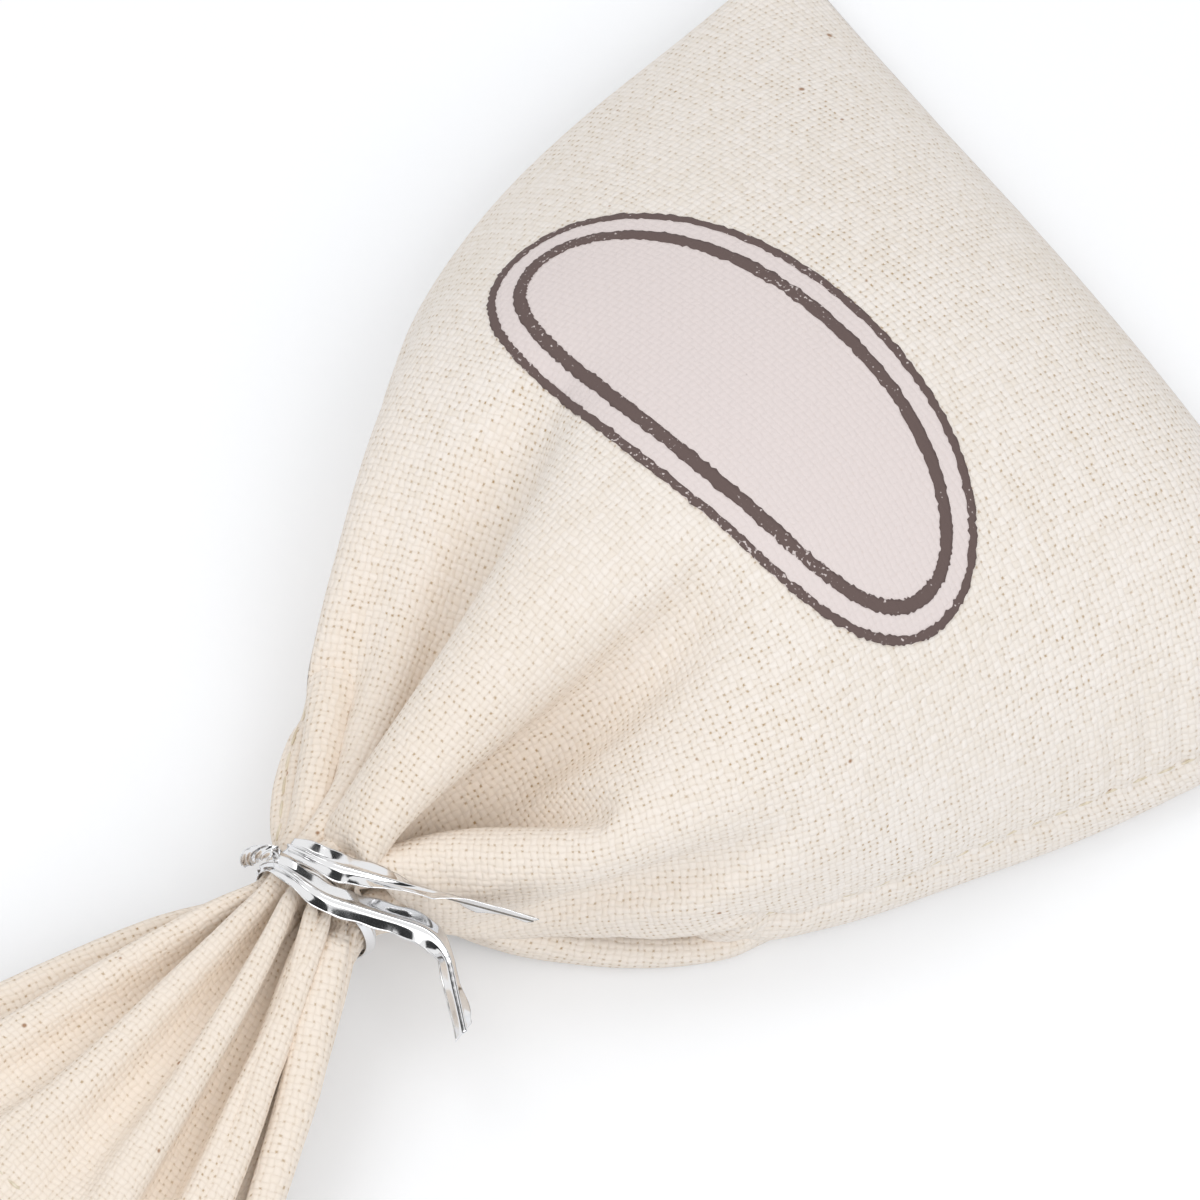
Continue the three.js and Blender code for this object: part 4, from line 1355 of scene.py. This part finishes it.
class SACHET_OT_label(bpy.types.Operator):
    """Prints the pale oval and its two lines on the front, with its middle left plain"""

    bl_idname = "sachet.label"
    bl_label = "Printed oval"

    def execute(self, context):
        bag = context.scene.sachet_bag
        label = context.scene.sachet_label
        surface = made["surface"]
        half_long = label.oval_length / MM / 2
        half_wide = label.oval_width / MM / 2
        turn = np.linspace(0, 2 * math.pi, 360, endpoint=False)
        chance = np.random.default_rng(8)

        def oval(inset, size=1.0):
            """Places on the cloth round the oval, that far inside its edge, at a share of its size."""
            power = 0.94
            across = np.sign(np.cos(turn)) * np.abs(np.cos(turn)) ** power * (half_long - inset) * size
            along = np.sign(np.sin(turn)) * np.abs(np.sin(turn)) ** power * (half_wide - inset) * size
            cosine = math.cos(label.turn)
            sine = math.sin(label.turn)
            return (
                label.across / MM + across * cosine + along * sine,
                label.along / MM + along * cosine - across * sine,
            )

        def printed(name, rings, lift, material):
            """A thin printed layer between rings of places on the cloth."""
            across, along = (np.array(places) for places in zip(*rings))
            top = surface.at(across, along, lift)
            bottom = surface.at(across, along, lift - PRINT_THICKNESS)
            return shell_piece(name, top, bottom, True, material, across, along)

        def rough_ring(inset):
            """A ring whose edge strays with the threads that it was printed over."""
            return oval(inset + chance.normal(0, 0.07, len(turn)))

        # The innermost rings lie close together, so that the film ends without a mark
        sizes = (*np.linspace(1, 0.03, 39), 0.003, 0.002)
        film = printed_film(bag, label)
        piece = printed("label_film", [oval(0, size) for size in sizes], FILM_LIFT, film)
        finish_piece(piece, "bag", "film", "label_band", "label_centre")
        ink = printing_ink(bag, label)
        outer = label.outer_line / MM
        inner = outer + label.line_gap / MM
        lines = (
            ("label_thin_line", "label_outer_line", -0.05, outer),
            ("label_thick_line", "label_inner_line", inner, inner + label.inner_line / MM),
        )
        for name, node, start, end in lines:
            middle = [oval(inset) for inset in np.linspace(start, end, 5)[1:-1]]
            piece = printed(name, [rough_ring(start), *middle, rough_ring(end)], INK_LIFT, ink)
            finish_piece(piece, "bag", "ink", node)
        return {"FINISHED"}


class SACHET_OT_filling(bpy.types.Operator):
    """Fills the bag with dried lavender buds"""

    bl_idname = "sachet.filling"
    bl_label = "Lavender filling"

    def execute(self, context):
        filling = context.scene.sachet_filling
        surface = made["surface"]
        depth = filling.cloth_distance / MM
        # Every fourth row and column, from the bottom fold to where the folds begin, 30 mm below the tie
        numbers = np.arange(8, int((surface.tie_at - 30) / surface.along), 4)
        grid = (surface.points - surface.normals * depth)[numbers][:, ::4]
        places = grid.reshape(-1, 3)
        faces = grid_faces(np.arange(len(places)).reshape(grid.shape[:2]), True)[0]
        # Folds bring other layers of cloth near: no bud lies closer to any of them than the depth allows
        layers = point_tree(surface.points.reshape(-1, 3))
        least = depth * 0.9
        clear = [layers.find(place)[2] > least and place[2] > least for place in places]
        faces = [face for face in faces if all(clear[number] for number in face)]
        bud = dried_bud(filling)
        piece = new_piece("lavender_buds", places, faces, bud)
        sizes = {
            "Bud length": filling.bud_length,
            "Bud width": filling.bud_width,
            "Bud spacing": filling.bud_spacing,
        }
        use_tree(piece, bud_tree(bud), sizes)
        finish_piece(piece, "bag", "flowers", "lavender_filling")
        return {"FINISHED"}


class SACHET_OT_tie(bpy.types.Operator):
    """Winds the foil twist tie round the neck, with its twist and two tails"""

    bl_idname = "sachet.tie"
    bl_label = "Twist tie"

    def execute(self, context):
        tie = context.scene.sachet_tie
        foil = crinkled_foil(tie)
        wire = soft_wire(tie)
        loop = loop_path(made["surface"])
        straight = straight_path()
        curled = curled_path()
        # As (name, path, body, node, seed, length of a facet, its lean, pinch, slant of the end, root)
        strips = (
            ("foil_loop", loop, "bag", "tie_loop", 1, 2.5, 0.25, 0.5, 0.0, 1.0),
            ("foil_twist_outer", twist_path(1), "bag", "tie_twist_outer", 2, 0.9, 0.6, 0.5, 0.0, 1.0),
            ("foil_twist_inner", twist_path(-1), "bag", "tie_twist_inner", 3, 0.9, 0.6, 0.5, 0.0, 1.0),
            ("foil_straight_tail", straight, "straight_end", "straight_tail", 4, 3.0, 0.45, 1.0, 0.2, 0.7),
            ("foil_curled_tail", curled, "curled_end", "curled_tail", 5, 3.0, 0.45, 1.0, 0.6, 0.7),
        )
        for name, path, body, node, *form in strips:
            finish_piece(strip_piece(name, path, tie, foil, *form), body, "foil", node)
        wires = (
            ("loop_wire", loop, "bag", "tie_loop_wire"),
            ("straight_tail_core", straight, "straight_end", "straight_tail_wire"),
            ("curled_tail_core", curled, "curled_end", "curled_tail_wire"),
        )
        for name, path, body, node in wires:
            finish_piece(wire_piece(name, path, tie, wire), body, "wire", node)
        return {"FINISHED"}


def seen_rays(tree):
    """A node that gives 1 to rays from the camera and to rays that are mirrored or let through."""
    rays = add_node(tree, "ShaderNodeLightPath").outputs
    mirrored = add_node(
        tree, "ShaderNodeMath", (rays["Is Glossy Ray"], rays["Is Transmission Ray"]), operation="MAXIMUM"
    )
    return add_node(tree, "ShaderNodeMath", (rays["Is Camera Ray"], mirrored), operation="MAXIMUM")


def flat_sheet(name, corners, material):
    """A flat sheet with four corners."""
    mesh = bpy.data.meshes.new(name)
    mesh.from_pydata([tuple(corner) for corner in corners], [], [(0, 1, 2, 3)])
    mesh.materials.append(material)
    return add_object(name, mesh)


def aimed(name, data, way):
    """A lamp or camera that stands off what the camera looks at, and faces it."""
    holder = add_object(name, data)
    holder.location = AIM + way
    holder.rotation_euler = (-way).to_track_quat("-Z", "Y").to_euler()
    return holder


class SACHET_OT_stage(bpy.types.Operator):
    """Sets the floor, the studio light and the camera"""

    bl_idname = "sachet.stage"
    bl_label = "Stage"

    def execute(self, context):
        stage = context.scene.sachet_stage
        scene = context.scene
        scene.view_settings.view_transform = "Standard"
        around = stage.azimuth
        rise = stage.elevation
        back = Vector((math.sin(around) * math.cos(rise), -math.cos(around) * math.cos(rise), math.sin(rise)))
        right = Vector((math.cos(around), math.sin(around), 0))
        up = back.cross(right)
        square = ((-1, -1), (1, -1), (1, 1), (-1, 1))

        # The floor is white paper that shows white to the camera and keeps the shadow
        paper, tree, _ = new_material("white_paper", {})
        tree.nodes.clear()
        glow = 0.12
        lift = add_node(tree, "ShaderNodeMath", (seen_rays(tree), glow), operation="MULTIPLY")
        matt = add_node(tree, "ShaderNodeBsdfDiffuse", {"Color": stage.floor})
        light = add_node(tree, "ShaderNodeEmission", {"Strength": lift})
        both = add_node(tree, "ShaderNodeAddShader", (matt, light))
        add_node(tree, "ShaderNodeOutputMaterial", (both,))
        floor = flat_sheet("floor", [(3 * x, 3 * y, 0) for x, y in square], paper)

        # Dark cards that only the foil mirrors, as a studio puts round bright metal
        black = new_material("black_card", {"Base Color": stage.card})[0]
        card_distance = 0.7
        half_width = 0.17
        half_height = 0.26
        ways = (
            right * 0.5 + up * 0.5 + back * 0.7,
            right * -0.2 + up * 0.85 + back * 0.45,
            right * -0.75 + up * 0.2 + back * 0.6,
            right * 0.8 - up * 0.45 + back * 0.35,
            right * 0.8 + up * 0.1 + back * 0.6,
        )
        for number, way in enumerate(ways):
            away = way.normalized()
            one = away.cross(Vector((0, 0, 1))).normalized() * half_width
            two = away.cross(one).normalized() * half_height
            corners = [AIM + away * card_distance + one * a + two * b for a, b in square]
            flag = flat_sheet(f"card_{number}", corners, black)
            flag.visible_camera = False
            flag.visible_diffuse = False
            flag.visible_shadow = False

        # The backdrop is white to the camera and to the foil that mirrors it, and lights the bag less
        world = bpy.data.worlds.new("studio")
        world.use_nodes = True
        tree = world.node_tree
        sky_light = 0.67
        level = add_node(tree, "ShaderNodeMapRange", (seen_rays(tree), 0.0, 1.0, sky_light, 1.0))
        set_inputs(tree, tree.nodes["Background"], {"Color": (1, 1, 1, 1), "Strength": level})
        scene.world = world

        # A large soft lamp beside the camera, and one from the upper left of the picture
        lamps = (
            ("front", 2.8, 0.6, back * 0.95 + right * 0.25 - up * 0.15),
            ("top", 1.8, 0.5, back * 0.7 - right * 0.35 + up * 0.6),
        )
        for name, power, size, way in lamps:
            lamp = bpy.data.lights.new(name, "AREA")
            lamp.energy = power
            lamp.size = size
            aimed(name, lamp, way)

        camera = bpy.data.cameras.new("camera")
        camera.lens = camera.sensor_width * stage.distance / stage.view_width
        camera.clip_end = 20
        scene.camera = aimed("camera", camera, back * stage.distance)
        return {"FINISHED"}


class SACHET_PT_panel(bpy.types.Panel):
    """Lists the pieces of the sachet and their settings"""

    bl_label = "Lavender sachet"
    bl_idname = "SACHET_PT_panel"
    bl_space_type = "VIEW_3D"
    bl_region_type = "UI"
    bl_category = "Sachet"

    def draw(self, context):
        for operator, group, holder in ORDER:
            box = self.layout.box()
            box.operator(operator.bl_idname)
            for name in group.__annotations__:
                box.prop(getattr(context.scene, holder), name)


# Each operator, its settings, and the name by which the scene holds them
ORDER = (
    (SACHET_OT_bag, SachetBag, "sachet_bag"),
    (SACHET_OT_stitches, SachetStitches, "sachet_stitches"),
    (SACHET_OT_label, SachetLabel, "sachet_label"),
    (SACHET_OT_filling, SachetFilling, "sachet_filling"),
    (SACHET_OT_tie, SachetTie, "sachet_tie"),
    (SACHET_OT_stage, SachetStage, "sachet_stage"),
)


def register():
    """Registers the settings, the operators and the panel."""
    for operator, group, holder in ORDER:
        bpy.utils.register_class(group)
        setattr(bpy.types.Scene, holder, bpy.props.PointerProperty(type=group))
        bpy.utils.register_class(operator)
    bpy.utils.register_class(SACHET_PT_panel)


def unregister():
    """Takes the panel, the operators and the settings out again."""
    bpy.utils.unregister_class(SACHET_PT_panel)
    for operator, group, holder in reversed(ORDER):
        bpy.utils.unregister_class(operator)
        delattr(bpy.types.Scene, holder)
        bpy.utils.unregister_class(group)


def main():
    """Builds the sachet piece by piece."""
    register()
    bpy.ops.sachet.bag()
    bpy.ops.sachet.stitches()
    bpy.ops.sachet.label()
    bpy.ops.sachet.filling()
    bpy.ops.sachet.tie()
    bpy.ops.sachet.stage()


if __name__ == "__main__":
    main()
